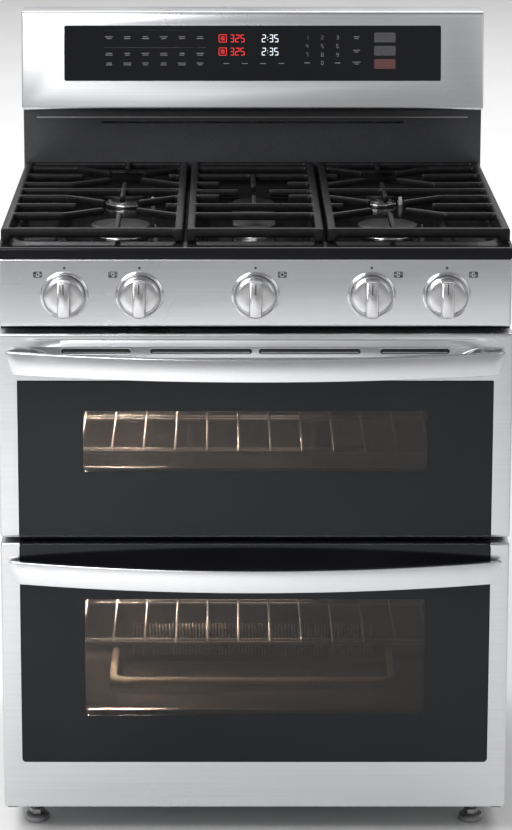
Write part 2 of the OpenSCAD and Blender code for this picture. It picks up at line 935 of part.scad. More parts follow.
module console_shell() {
    color("lightgray") difference() {
        console_profile(console_w, 0);
        difference() {
            console_profile(console_w - 2 * sheet, -sheet);
            block([-half_w, rear_y - 30, console_low], [half_w, rear_y, console_low + 1]);
        }
        block([-console_w / 2 + sheet, rear_y - 20, console_low + sheet],
              [console_w / 2 - sheet, rear_y, range_h - sheet]);
        on_face() translate([-glass_w / 2 - gap, -2, glass_lo - gap])
            cube([glass_w + 2 * gap, 5, glass_hi - glass_lo + 2 * gap]);
    }
}

module console_glass() {
    color([0.04, 0.04, 0.05]) on_face() translate([-glass_w / 2, 0, glass_lo])
        cube([glass_w, glass_t, glass_hi - glass_lo]);
}

board_half = 240;
board_y = 16;
post_w = 8;
DIGITS_X = [-32, 36];
POSTS_X = [-220, 212];

// Circuit board with two digit modules and two posts behind the glass
module display_board() {
    color("darkgreen") on_face() {
        translate([-board_half, board_y, glass_lo + post_w])
            cube([2 * board_half, 1.6, glass_hi - glass_lo - 2 * post_w]);
        for (x = DIGITS_X) translate([x, post_w, glass_lo + 38]) cube([52, board_y - post_w + 0.2, 36]);
        for (x = POSTS_X) translate([x, 5, glass_lo + 12]) cube([post_w, board_y - 5 + 0.2, post_w]);
    }
}

trim_z = 1017;
trim_half = 330;
vent_half = 250;

// Lower backguard with a bright trim strip, a vent slot and side returns
module riser_panel() {
    color([0.2, 0.2, 0.21]) difference() {
        union() {
            block([-console_w / 2, riser_y, cooktop_z + gap], [console_w / 2, riser_y + sheet, riser_high]);
            for (s = [-1, 1]) scale_x(s)
                block([console_w / 2 - sheet, riser_y, cooktop_z - lip_h],
                      [console_w / 2, console_rear_y, riser_high]);
            block([-trim_half, riser_y - 2, trim_z - 1], [trim_half, riser_y + 1, trim_z + 2]);
        }
        block([-vent_half, riser_y - 1, trim_z - 11], [vent_half, riser_y + 4, trim_z - 5]);
    }
}

// ---------- inside the ovens ----------

// Tube burners: one at the roof of the upper oven, one at the floor of each oven.
// Each is its height, its width and how far its front bar stands behind the oven's mouth.
OVEN_BURNERS = [
    [upper_oven_z + upper_oven_h - 16, 200, 62],
    [upper_oven_z + 8, 200, 62],
    [lower_oven_z + 12, 458, 328]
];

burner_tube_r = 6;

module oven_burners() {
    color("gray") {
        for (b = OVEN_BURNERS) {
            for (s = [-1, 1]) rod_y(s * b[1] / 2, oven_y + b[2] - 2, oven_back_y - 1, b[0], burner_tube_r);
            rod_x(-b[1] / 2, b[1] / 2, oven_y + b[2], b[0], burner_tube_r);
        }
    }
}

module oven_lamps() {
    color("moccasin") for (o = OVENS) {
        rod_y(lamp_x, oven_back_y - 12, oven_back_y + 6, o[0] + o[1] - lamp_drop, lamp_r);
        rod_y(lamp_x, oven_back_y + 5, oven_back_y + 40, o[0] + o[1] - lamp_drop, socket_r);
    }
}

baffle_w = 440;
baffle_h = 232;
baffle_y = oven_back_y - 34;
baffle_r = 40;
baffle_t = 2;
flute_half = 90;

// Ribbed baffle in front of the fan, with the motor case behind the oven
module convection_unit() {
    half = baffle_h / 2;
    color("slategray") {
        difference() {
            slab(baffle_w, motor_z - half, motor_z + half, baffle_y, oven_back_y, baffle_r);
            slab(baffle_w - 2 * baffle_t, motor_z - half + baffle_t, motor_z + half - baffle_t,
                 baffle_y + baffle_t, oven_back_y + 1, baffle_r - baffle_t);
            for (i = [-9 : 9])
                block([i * 20 - 4, baffle_y - 1, motor_z - flute_half],
                      [i * 20 + 4, baffle_y + 3, motor_z + flute_half]);
        }
        difference() {
            rod_y(0, oven_back_y + 4, oven_back_y + 60, motor_z, motor_r);
            rod_y(0, oven_back_y + 3, oven_back_y + 20, motor_z, shaft_r + fit);
        }
    }
}

fan_r = 68;

module convection_fan() {
    disc_y = oven_back_y - 10;
    color("silver") {
        rod_y(0, oven_back_y - 24, oven_back_y + 18, motor_z, shaft_r);
        rod_y(0, oven_back_y - 26, disc_y, motor_z, 3 * shaft_r);
        rod_y(0, disc_y - 2, disc_y, motor_z, fan_r);
        for (a = [0 : 45 : 315]) translate([0, disc_y, motor_z]) rotate([90, a, 0])
            translate([2 * shaft_r, -1, 0]) cube([fan_r - 10, 2, 14]);
    }
}

// Wire rack: outer loop, cross rods and front-to-back wires
module rack(z) {
    side_x = oven_w / 2 - 4 - rack_rod / 2;
    zc = z + rack_rod / 2 + gap;
    y0 = rack_front_y;
    y1 = y0 + rack_d;
    for (x = [-side_x, side_x]) rod_y(x, y0, y1, zc, rack_rod / 2);
    for (y = [y0, y0 + rack_d / 2, y1]) rod_x(-side_x, side_x, y, zc, rack_rod / 2);
    for (x = [-side_x, side_x]) for (y = [y0, y1]) translate([x, y, zc]) sphere(r = rack_rod / 2);
    for (i = [-6 : 5]) rod_y((i + 0.5) * rack_pitch, y0, y1, zc + 1.5, wire_r);
}

module upper_rack() {
    color("silver") rack(upper_rack_z);
}

module lower_rack() {
    color("silver") rack(lower_rack_z);
}

// ---------- fasteners ----------

LOWER_SCREWS = [100, 330, 560, 790];
UPPER_SCREWS = [940, 1060, 1170];

module screw_y(x, y, z) {
    rod_y(x, y, y + screw_head_t, z, screw_head_r);
    rod_y(x, y - 8, y + 0.1, z, screw_r);
}

// Screws that hold the rear covers
module panel_screws() {
    color("silver") for (s = [-1, 1]) {
        for (z = LOWER_SCREWS) screw_y(s * (body_w / 2 - 8), rear_y - screw_head_t, z);
        for (z = UPPER_SCREWS) screw_y(s * (console_w / 2 - 14), rear_y - screw_head_t, z);
    }
}

side_panels();
rear_panels();
base_frame();
front_frame();
upper_cavity();
lower_cavity();
oven_insulation();
door_gaskets();
cooktop_pan();
burner_bases();
burner_igniters();
gas_manifold();
control_panel();
knob_bezels();
console_shell();
console_glass();
display_board();
riser_panel();
oven_burners();
oven_lamps();
convection_unit();
hinge_arms();
panel_screws();
upper_door_skin();
upper_door_glass();
upper_door_inner_glass();
upper_door_liner();
upper_door_handle();
upper_door_hinges();
lower_door_skin();
lower_door_glass();
lower_door_inner_glass();
lower_door_liner();
lower_door_handle();
lower_door_hinges();
knob_1();
knob_2();
knob_3();
knob_4();
knob_5();
valve_stem_1();
valve_stem_2();
valve_stem_3();
valve_stem_4();
valve_stem_5();
cap_left_front();
cap_left_rear();
cap_oval();
cap_right_front();
cap_right_rear();
grate_left();
grate_centre();
grate_right();
upper_rack();
lower_rack();
convection_fan();
foot(0);  // foot_1
foot(1);  // foot_2
foot(2);  // foot_3
foot(3);  // foot_4
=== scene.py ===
"""Looks of a freestanding double-oven gas range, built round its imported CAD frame.

Shapes are worked out in millimetres in the frame's own axes (+Z up, -Y towards the
person at the doors) and scaled to metres when a piece is made.
"""
import math

import bmesh
import bpy
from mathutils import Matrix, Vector


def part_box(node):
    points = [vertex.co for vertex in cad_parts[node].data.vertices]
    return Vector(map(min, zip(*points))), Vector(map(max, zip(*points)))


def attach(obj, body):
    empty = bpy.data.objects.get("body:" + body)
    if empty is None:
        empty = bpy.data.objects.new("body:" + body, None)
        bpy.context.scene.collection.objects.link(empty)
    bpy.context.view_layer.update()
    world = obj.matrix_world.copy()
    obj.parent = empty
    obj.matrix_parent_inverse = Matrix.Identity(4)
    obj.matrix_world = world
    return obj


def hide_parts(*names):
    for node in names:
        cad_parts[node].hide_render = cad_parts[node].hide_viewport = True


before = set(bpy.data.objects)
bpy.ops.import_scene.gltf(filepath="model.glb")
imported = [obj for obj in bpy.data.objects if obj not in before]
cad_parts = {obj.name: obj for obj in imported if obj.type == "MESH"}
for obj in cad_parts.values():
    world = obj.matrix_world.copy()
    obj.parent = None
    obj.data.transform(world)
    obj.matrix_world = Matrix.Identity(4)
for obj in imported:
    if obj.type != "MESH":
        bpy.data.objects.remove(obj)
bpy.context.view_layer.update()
MM = 0.001
ALONG_Y = (0, 1, 0)
ALONG_Z = (0, 0, 1)


# ---------- places read from the frame, in millimetres ----------

def lo(node):
    return Vector(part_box(node)[0]) / MM


def hi(node):
    return Vector(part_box(node)[1]) / MM


def middle(node):
    return (lo(node) + hi(node)) / 2


def extent(node):
    """Half-width, then low and high ends along Y and along Z."""
    low, high = lo(node), hi(node)
    return high.x, low.y, high.y, low.z, high.z


DOOR_Y = lo("lower_door_skin").y
DOOR_BACK = hi("lower_door_liner").y
FRAME_Y = lo("front_frame").y
OVEN_Y = lo("upper_cavity").y
OVEN_BACK = hi("lower_cavity").y - 1
REAR_Y = hi("panel_screws").y
HALF_W = hi("lower_door_skin").x
SHEET = 1.0
PAN_TOP = hi("cooktop_pan").z
PAN_SHELF = PAN_TOP - 9
PAN_FLOOR = PAN_TOP - 30
PANEL_Y = lo("control_panel").y
KNOBS = [middle(f"knob_{i}") for i in range(1, 6)]


# ---------- outlines ----------

def quarter(steps):
    """(sine, cosine) over a quarter turn."""
    angles = [math.radians(90 * i / steps) for i in range(steps + 1)]
    return [(math.sin(a), math.cos(a)) for a in angles]


def ease(t):
    t = min(max(t, 0.0), 1.0)
    return t * t * (3 - 2 * t)


def round_rect(x0, x1, z0, z1, r, n=6):
    """Points of a rectangle with round corners, anticlockwise from the high corner."""
    points = []
    corners = ((x1 - r, z1 - r, 0), (x0 + r, z1 - r, 90), (x0 + r, z0 + r, 180), (x1 - r, z0 + r, 270))
    for cx, cz, turn in corners:
        for i in range(n + 1):
            a = math.radians(turn + 90 * i / n)
            points.append((cx + r * math.cos(a), cz + r * math.sin(a)))
    return points


def circle(cx, cz, r, n=48):
    turns = [2 * math.pi * i / n for i in range(n)]
    return [(cx + r * math.cos(a), cz + r * math.sin(a)) for a in turns]


def stadium(cx, cy, w, length, n=24):
    """Outline of a long oval that runs along the second axis."""
    half = (length - w) / 2
    points = []
    for sign, turn in ((1, 0), (-1, 180)):
        for i in range(n + 1):
            a = math.radians(turn + 180 * i / n)
            points.append((cx + w / 2 * math.cos(a), cy + sign * half + w / 2 * math.sin(a)))
    return points


def at_y(outline, y):
    return [Vector((p[0], y, p[1])) for p in outline]


def at_z(outline, z):
    return [Vector((p[0], p[1], z)) for p in outline]


def at_x(outline, x):
    return [Vector((x, p[0], p[1])) for p in outline]


def front_ring(half, low, high, inset, r, y, n=6):
    """Ring across the range at y: a centred rectangle, drawn in all round by the inset."""
    return at_y(round_rect(-half + inset, half - inset, low + inset, high - inset, r, n), y)


# ---------- meshes ----------

def loft(bm, rings, cap_start=True, cap_end=True, cyclic=False, closed=True):
    """Skins a run of rings that have the same number of points."""
    rows = [[bm.verts.new(p) for p in ring] for ring in rings]
    pairs = list(zip(rows, rows[1:])) + ([(rows[-1], rows[0])] if cyclic else [])
    count = len(rows[0])
    for a, b in pairs:
        for i in range(count if closed else count - 1):
            j = (i + 1) % count
            bm.faces.new((a[i], a[j], b[j], b[i]))
    if closed and not cyclic:
        if cap_start:
            bm.faces.new(rows[0][::-1])
        if cap_end:
            bm.faces.new(rows[-1])


def lofted(rings, **ends):
    bm = bmesh.new()
    loft(bm, rings, **ends)
    return bm


def prism(bm, outline, y0, y1):
    """Block that runs from y0 to y1 with the outline for its section."""
    loft(bm, [at_y(outline, y0), at_y(outline, y1)])


def soft_block(bm, low, high, r=1.0):
    """Box with chamfered edges, built as stacked rounded outlines."""
    x0, y0, z0 = low
    x1, y1, z1 = high
    r = min(r, (x1 - x0) / 2.1, (y1 - y0) / 2.1, (z1 - z0) / 2.1)
    cut = r * 0.6
    inner = round_rect(x0 + cut, x1 - cut, y0 + cut, y1 - cut, r * 0.7, 2)
    outer = round_rect(x0, x1, y0, y1, r, 2)
    loft(bm, [at_z(inner, z0), at_z(outer, z0 + cut), at_z(outer, z1 - cut), at_z(inner, z1)])


def tube(bm, path, r, n=12, closed_path=False):
    """Round bar along a list of points."""
    path = [Vector(p) for p in path]
    count = len(path)
    rings = []
    side = None
    for i, p in enumerate(path):
        before = path[i - 1] if i or closed_path else p
        after = path[(i + 1) % count] if i < count - 1 or closed_path else p
        along = (after - before).normalized()
        if side is None:
            side = along.orthogonal().normalized()
        side = (side - along * side.dot(along)).normalized()
        up = along.cross(side)
        rings.append([p + (side * x + up * y) * r for x, y in circle(0, 0, 1, n)])
    loft(bm, rings, cyclic=closed_path)


def lathe(bm, centre, axis, profile, n=48):
    """Turns (height, radius) pairs round an axis through the centre."""
    axis = Vector(axis)
    side = Vector((1, 0, 0)) if abs(axis.x) < 0.5 else Vector((0, 1, 0))
    up = axis.cross(side)
    loft(bm, [[centre + axis * height + (side * x + up * y) * max(radius, 0.01)
               for x, y in circle(0, 0, 1, n)] for height, radius in profile])


def mesh_of(bm, name):
    bmesh.ops.recalc_face_normals(bm, faces=bm.faces)
    mesh = bpy.data.meshes.new(name)
    bm.to_mesh(mesh)
    bm.free()
    return mesh


def add_object(name, data):
    obj = bpy.data.objects.new(name, data)
    bpy.context.scene.collection.objects.link(obj)
    return obj


def baked(obj):
    """A new bmesh of the object with its modifiers applied. The object is removed."""
    graph = bpy.context.evaluated_depsgraph_get()
    mesh = bpy.data.meshes.new_from_object(obj.evaluated_get(graph))
    bpy.data.objects.remove(obj)
    result = bmesh.new()
    result.from_mesh(mesh)
    return result


def carve(bm, cutter):
    """Takes the cutter's closed shapes away from bm's closed shape."""
    body = add_object("carved", mesh_of(bm, "carved"))
    tool = add_object("cutter", mesh_of(cutter, "cutter"))
    cut = body.modifiers.new("cut", "BOOLEAN")
    cut.object = tool
    cut.operation = "DIFFERENCE"
    cut.solver = "EXACT"
    result = baked(body)
    bpy.data.objects.remove(tool)
    return result


def cast(bm):
    """Fuses overlapping bars into one casting with soft edges."""
    body = add_object("cast", mesh_of(bm, "cast"))
    remesh = body.modifiers.new("remesh", "REMESH")
    remesh.mode = "VOXEL"
    remesh.voxel_size = 2.0
    smooth = body.modifiers.new("smooth", "SMOOTH")
    smooth.iterations = 4
    smooth.factor = 0.5
    body.modifiers.new("thin", "DECIMATE").ratio = 0.35
    return baked(body)


def thicken(bm, thickness):
    bmesh.ops.recalc_face_normals(bm, faces=bm.faces)
    bmesh.ops.solidify(bm, geom=bm.faces[:], thickness=thickness)


def to_metres(bm):
    bmesh.ops.scale(bm, vec=(MM, MM, MM), verts=bm.verts)


def piece(name, bm, body, material, angle=35, stands_for=()):
    """Turns a millimetre mesh into a piece of the model that rides on a body."""
    to_metres(bm)
    mesh = mesh_of(bm, name)
    mesh.shade_smooth()
    mesh.set_sharp_from_angle(angle=math.radians(angle))
    mesh.materials.append(material)
    obj = add_object(name, mesh)
    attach(obj, body)
    if stands_for:
        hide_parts(*stands_for)


def fixed(name, bm, material, angle=35, stands_for=()):
    """A piece that stands still."""
    piece(name, bm, "range_body", material, angle, stands_for)


# ---------- materials ----------

UNIFORM = (1, 1, 1)


class Finish:
    """One procedural material, with short calls for the nodes that all of them use."""

    def __init__(self, name, colour, rough, metal=0.0):
        self.material = bpy.data.materials.new(name)
        self.material.use_nodes = True
        self.nodes = self.material.node_tree.nodes
        self.links = self.material.node_tree.links
        self.shader = self.nodes["Principled BSDF"]
        self.place = self.nodes.new("ShaderNodeTexCoord")
        self.last_bump = None
        self.set("Base Color", (*colour, 1))
        self.set("Roughness", rough)
        self.set("Metallic", metal)

    def set(self, socket, value):
        self.shader.inputs[socket].default_value = value

    def link(self, source, target):
        self.links.new(source, target)

    def texture(self, kind, stretch=UNIFORM, **inputs):
        """Texture node in object space, stretched along the axes."""
        mapping = self.nodes.new("ShaderNodeMapping")
        mapping.inputs["Scale"].default_value = stretch
        self.link(self.place.outputs["Object"], mapping.inputs["Vector"])
        node = self.nodes.new(f"ShaderNodeTex{kind}")
        for socket, value in inputs.items():
            node.inputs[socket].default_value = value
        self.link(mapping.outputs["Vector"], node.inputs["Vector"])
        return node

    def noise(self, scale, detail=3.0, stretch=UNIFORM):
        return self.texture("Noise", stretch, Scale=scale, Detail=detail).outputs["Fac"]

    def cells(self, scale, output="Distance"):
        return self.texture("Voronoi", Scale=scale).outputs[output]

    def ramp(self, fac, stops):
        node = self.nodes.new("ShaderNodeValToRGB")
        for element, (position, colour) in zip(node.color_ramp.elements, stops):
            element.position = position
            element.color = (*colour, 1)
        self.link(fac, node.inputs["Fac"])
        return node.outputs["Color"]

    def span(self, fac, low, high):
        node = self.nodes.new("ShaderNodeMapRange")
        node.inputs["To Min"].default_value = low
        node.inputs["To Max"].default_value = high
        self.link(fac, node.inputs["Value"])
        return node.outputs["Result"]

    def colour(self, fac, *stops):
        self.link(self.ramp(fac, stops), self.shader.inputs["Base Color"])

    def rough(self, fac, low, high):
        self.link(self.span(fac, low, high), self.shader.inputs["Roughness"])

    def bump(self, height, strength, distance):
        node = self.nodes.new("ShaderNodeBump")
        node.inputs["Strength"].default_value = strength
        node.inputs["Distance"].default_value = distance
        self.link(height, node.inputs["Height"])
        if self.last_bump:
            self.link(self.last_bump, node.inputs["Normal"])
        self.last_bump = node.outputs["Normal"]
        self.link(self.last_bump, self.shader.inputs["Normal"])


def surface(name, tones, rough, tone_noise, rough_noise, relief=(), metal=0.0, **levels):
    """Material whose colour, polish and relief each follow their own noise.

    tones are (place, colour) pairs, a noise is (scale, detail), and each relief adds
    a strength and a depth in metres to its noise. levels set other sockets.
    """
    f = Finish(name, tones[1][1], rough[0], metal)
    f.colour(f.noise(*tone_noise), *tones)
    f.rough(f.noise(*rough_noise), *rough)
    for scale, detail, strength, distance in relief:
        f.bump(f.noise(scale, detail), strength, distance)
    for socket, value in levels.items():
        f.set(socket.replace("_", " "), value)
    return f.material


def brushed(name, dark, light, rough, grain):
    """Sheet steel with a fine grain, faint blotches and a soft sheen."""
    f = Finish(name, light, rough, 1.0)
    lines = f.noise(1.0, 4.0, grain)
    f.colour(lines, (0.25, dark), (0.75, light))
    f.rough(f.noise(5.0), rough - 0.05, rough + 0.07)
    f.bump(lines, 0.04, 0.0002)
    f.set("Anisotropic", 0.4)
    return f.material


def plated(name, colour, low, high):
    """Bright plating with faint wear in its polish."""
    dull = tuple(c * 0.86 for c in colour)
    return surface(name, ((0.35, dull), (0.7, colour)), (low, high), (40.0, 4.0), (120.0, 3.0),
                   [(600.0, 2.0, 0.03, 0.0001)], metal=1.0)


def painted(name, dark, light, rough):
    """Powder coat with a fine pebble texture."""
    return surface(name, ((0.3, dark), (0.7, light)), (rough - 0.08, rough + 0.08),
                   (220.0, 4.0), (60.0, 3.0), [(1400.0, 2.0, 0.25, 0.0002)])


def ink(name, dark, light, rough=0.45):
    """Printed marks or a bare matt surface, with a trace of unevenness."""
    return surface(name, ((0.3, dark), (0.7, light)), (rough - 0.05, rough + 0.1),
                   (400.0, 3.0), (150.0, 2.0))


def cast_iron():
    """Sand-cast iron under matt enamel: fine pits over a slower ripple."""
    return surface("cast_iron", ((0.3, (0.004, 0.004, 0.005)), (0.75, (0.011, 0.011, 0.012))), (0.30, 0.46),
                   (90.0, 5.0), (200.0, 4.0), [(900.0, 4.0, 0.25, 0.0002), (70.0, 2.0, 0.15, 0.0005)],
                   Specular_IOR_Level=0.22)


def cap_enamel():
    """Matt enamel with a fine grain."""
    return surface("cap_enamel", ((0.3, (0.008, 0.008, 0.009)), (0.8, (0.018, 0.018, 0.019))), (0.34, 0.5),
                   (60.0, 4.0), (90.0, 4.0), [(700.0, 3.0, 0.15, 0.0002)], Specular_IOR_Level=0.28)


def black_glass():
    """Glass with black print behind it: an even gloss and a cool, faint reflection."""
    return surface("black_glass", ((0.3, (0.005, 0.005, 0.006)), (0.8, (0.010, 0.010, 0.011))), (0.02, 0.06),
                   (3.0, 2.0), (6.0, 3.0), Specular_IOR_Level=0.23, Specular_Tint=(0.90, 0.95, 1.0, 1.0))


def gloss_enamel(name, colour, speck, coat, polish):
    """Fired enamel: deep gloss, slight orange peel and rare specks."""
    f = Finish(name, colour, 0.16)
    f.colour(f.cells(260.0), (0.04, speck), (0.12, colour))
    f.rough(f.noise(14.0), 0.10, 0.22)
    f.bump(f.noise(160.0, 2.0), 0.06, 0.0002)
    f.set("Coat Weight", coat)
    f.set("Coat Roughness", 0.05)
    f.set("Specular IOR Level", polish)
    return f.material


def clear_glass(name, tint):
    """Pane that lets light straight through, tinted, with a Fresnel reflection on top."""
    f = Finish(name, tint, 0.02)
    through = f.nodes.new("ShaderNodeBsdfTransparent")
    through.inputs["Color"].default_value = (*tint, 1)
    sheen = f.nodes.new("ShaderNodeBsdfGlossy")
    f.link(f.span(f.noise(8.0, 2.0), 0.02, 0.06), sheen.inputs["Roughness"])
    fresnel = f.nodes.new("ShaderNodeFresnel")
    fresnel.inputs["IOR"].default_value = 1.42
    mix = f.nodes.new("ShaderNodeMixShader")
    for socket, node in enumerate((fresnel, through, sheen)):
        f.link(node.outputs[0], mix.inputs[socket])
    f.link(mix.outputs["Shader"], f.nodes["Material Output"].inputs["Surface"])
    return f.material


def galvanised():
    """Zinc spangle: large flat crystals, each with its own tone and sheen."""
    f = Finish("galvanised", (0.5, 0.52, 0.53), 0.4, 1.0)
    crystals = f.cells(150.0, "Color")
    f.colour(crystals, (0.1, (0.46, 0.47, 0.48)), (0.9, (0.57, 0.58, 0.59)))
    f.rough(crystals, 0.34, 0.52)
    f.bump(f.noise(300.0), 0.05, 0.0002)
    return f.material


def fibre(name, dark, light, scale, strength):
    """Woven rope or glass wool: crossed strands over soft noise."""
    f = Finish(name, light, 0.9)
    f.colour(f.noise(scale, 6.0), (0.3, dark), (0.7, light))
    f.rough(f.noise(scale / 3), 0.8, 0.98)
    strands = f.texture("Wave", Scale=scale * 1.5, Distortion=3.0)
    strands.bands_direction = "DIAGONAL"
    f.bump(strands.outputs["Fac"], strength, 0.0006)
    f.bump(f.noise(scale * 4, 4.0), strength, 0.0005)
    return f.material


def glowing(name, colour, strength):
    """Lit segments or a lamp, with slightly uneven light."""
    f = Finish(name, colour, 0.3)
    dim = tuple(c * 0.85 for c in colour)
    f.link(f.ramp(f.noise(90.0, 2.0), ((0.2, dim), (0.8, colour))), f.shader.inputs["Emission Color"])
    f.set("Emission Strength", strength)
    return f.material


def circuit_board():
    """Green solder mask over a net of tracks."""
    f = Finish("circuit_board", (0.02, 0.11, 0.05), 0.35)
    f.colour(f.cells(400.0, "Color"), (0.2, (0.015, 0.09, 0.04)), (0.9, (0.03, 0.15, 0.07)))
    f.rough(f.noise(200.0, 2.0), 0.25, 0.45)
    f.bump(f.cells(300.0), 0.2, 0.0003)
    return f.material


FINE_X_GRAIN = (3, 500, 500)
FINER_X_GRAIN = (4, 900, 900)
TURNED_GRAIN = (200, 200, 900)

STEEL = brushed("brushed_stainless", (0.585, 0.59, 0.605), (0.645, 0.65, 0.665), 0.28, FINE_X_GRAIN)
HANDLE = brushed("handle_steel", (0.66, 0.665, 0.68), (0.70, 0.705, 0.72), 0.22, FINER_X_GRAIN)
KNOB_METAL = brushed("knob_metal", (0.54, 0.54, 0.55), (0.63, 0.63, 0.64), 0.25, TURNED_GRAIN)
TRIM = plated("window_trim", (0.70, 0.69, 0.67), 0.16, 0.26)
CHROME = plated("bright_chrome", (0.80, 0.80, 0.81), 0.10, 0.18)
WIRE = plated("plated_wire", (0.68, 0.68, 0.67), 0.24, 0.36)
ALUMINIUM = plated("burner_aluminium", (0.66, 0.66, 0.67), 0.24, 0.40)
FLUTED = plated("fluted_sheet", (0.55, 0.53, 0.50), 0.22, 0.34)
BRASS = plated("gas_brass", (0.72, 0.56, 0.28), 0.22, 0.38)
FOOT = plated("foot_steel", (0.42, 0.42, 0.43), 0.3, 0.45)
ZINC = galvanised()
IRON = cast_iron()
CAP = cap_enamel()
ENAMEL = gloss_enamel("black_enamel", (0.008, 0.008, 0.009), (0.02, 0.02, 0.021), 0.0, 0.14)
OVEN_ENAMEL = gloss_enamel("oven_enamel", (0.055, 0.050, 0.048), (0.30, 0.31, 0.33), 0.25, 0.30)
SIDE_PAINT = painted("side_paint", (0.030, 0.030, 0.031), (0.050, 0.050, 0.052), 0.5)
FRAME_PAINT = painted("frame_paint", (0.005, 0.005, 0.005), (0.010, 0.010, 0.011), 0.45)
SHADOW_PAINT = painted("shadow_paint", (0.003, 0.003, 0.003), (0.007, 0.007, 0.007), 0.6)
RISER = painted("riser_satin", (0.026, 0.027, 0.030), (0.034, 0.035, 0.039), 0.36)
GLASS = black_glass()
WINDOW = clear_glass("door_window", (0.51, 0.475, 0.46))
INNER_GLASS = clear_glass("inner_window", (0.90, 0.89, 0.87))
TUBE = ink("burner_tube_steel", (0.46, 0.40, 0.31), (0.60, 0.53, 0.42), 0.35)
CERAMIC = ink("ceramic", (0.62, 0.60, 0.56), (0.78, 0.77, 0.73), 0.35)
BOARD = circuit_board()
WOOL = fibre("glass_wool", (0.70, 0.62, 0.30), (0.86, 0.80, 0.50), 60.0, 0.6)
ROPE = fibre("rope_gasket", (0.05, 0.05, 0.05), (0.16, 0.155, 0.15), 400.0, 0.5)
LAMP = glowing("lamp_glass", (1.0, 0.72, 0.42), 18.0)
WHITE_LIGHT = glowing("clock_segments", (0.80, 0.86, 0.92), 0.8)
RED_LIGHT = glowing("heat_segments", (0.80, 0.03, 0.03), 0.9)
MARK_WHITE = ink("key_print", (0.22, 0.22, 0.23), (0.32, 0.32, 0.33))
MARK_GREY = ink("key_pad", (0.055, 0.055, 0.06), (0.085, 0.085, 0.09))
MARK_RED = ink("key_pad_red", (0.10, 0.035, 0.035), (0.15, 0.05, 0.05))
MARK_BLACK = ink("panel_print", (0.02, 0.02, 0.021), (0.05, 0.05, 0.052))


# ---------- doors ----------

VENTS = ((-286, -184), (-155, -5), (5, 155), (184, 286))
SCOOP_HALF = 343.0
SKIN_ROLL = 3.5
SKIN_DEPTH = 34.0
EDGING = 0.3
SLOT_X = 335
SLOT_HALF = 13
PANE_HALF = 255.0
LINER_OPENING = 258.0


def hinge_slots(bm, z0, y0, y1, low, high):
    """Cuts the two slots that the hinge arms pass through."""
    cutter = bmesh.new()
    for side in (-1, 1):
        x0, x1 = side * SLOT_X - SLOT_HALF, side * SLOT_X + SLOT_HALF
        corners = [(x0, y0), (x1, y0), (x1, y1), (x0, y1)]
        loft(cutter, [at_z(corners, z0 + low), at_z(corners, z0 + high)])
    return carve(bm, cutter)


def skin_shell(door, hole, extra=None):
    """Front sheet with rolled edges and side flanges, open where the hole outline is."""
    node = f"{door}_skin"
    _, _, _, z0, z1 = extent(node)
    back = DOOR_Y + SKIN_DEPTH

    def ring(inset, y):
        return front_ring(HALF_W, z0, z1, inset, max(4.5 - inset, 0.8), y)

    rings = [at_y(hole, DOOR_Y + SHEET), at_y(hole, DOOR_Y)]
    rings += [ring(SKIN_ROLL * (1 - s), DOOR_Y + SKIN_ROLL * (1 - c)) for s, c in quarter(6)]
    rings += [ring(0, back), ring(SHEET, back)]
    rings += [ring(SHEET, DOOR_Y + SKIN_ROLL), ring(SKIN_ROLL, DOOR_Y + SHEET)]
    bm = lofted(rings, cyclic=True)
    if extra:
        extra(bm)
    bm = hinge_slots(bm, z0, DOOR_Y + SHEET + 0.4, back + 1, -1, SHEET + 1)
    piece(f"{door}_skin_shell", bm, door, STEEL, 25, [node])


def scoop_column(x, z_low, z_high):
    """Section of the grip scoop at x: crease, sloping ledge, bright lip and vent recess.

    It is made of heights from the floor and depths behind the door's face. Both fade out
    towards the ends.
    """
    shown = ease((SCOOP_HALF - abs(x)) / 75)
    recess = ease((336 - abs(x)) / 52)
    lip = 775.4
    points = [(z_high, 0.0), (787.2, 0.0), (786.0, 3.6 * shown), (785.0, 3.8 * shown)]
    points += [(776.4, 0.8 * shown), (775.7, 0.2 * shown), (lip, 0.25 * shown)]
    for z, deep in ((774.3, 7.0), (773.4, 8.2), (758.6, 9.6), (757.2, 9.0), (751.0, 1.0), (749.6, 0.0)):
        points.append((lip - (lip - z) * max(recess, 0.02), deep * recess))
    points += [(740.0, 0.0), (z_low, 0.0)]
    return [Vector((x, DOOR_Y + deep, z)) for z, deep in points]


def upper_door_skin():
    """Skin whose upper band holds the grip scoop."""
    glass = hi("upper_door_glass")
    glass_low, glass_high = lo("upper_door_glass").z - 0.5, glass.z + 0.5
    glass_half, band_half = glass.x + 0.5, 349.0
    band_high = hi("upper_door_skin").z - 6

    def scoop(bm):
        steps = [-glass_half, -band_half] + [-SCOOP_HALF + 3.0 * i for i in range(25)]
        steps += [-270 + 30 * i for i in range(19)]
        steps = sorted({round(s, 3) for s in steps} | {round(-s, 3) for s in steps})
        loft(bm, [scoop_column(x, glass_high, band_high) for x in steps], closed=False)

    skin_shell("upper_door", round_rect(-glass_half, glass_half, glass_low, band_high, 2), scoop)


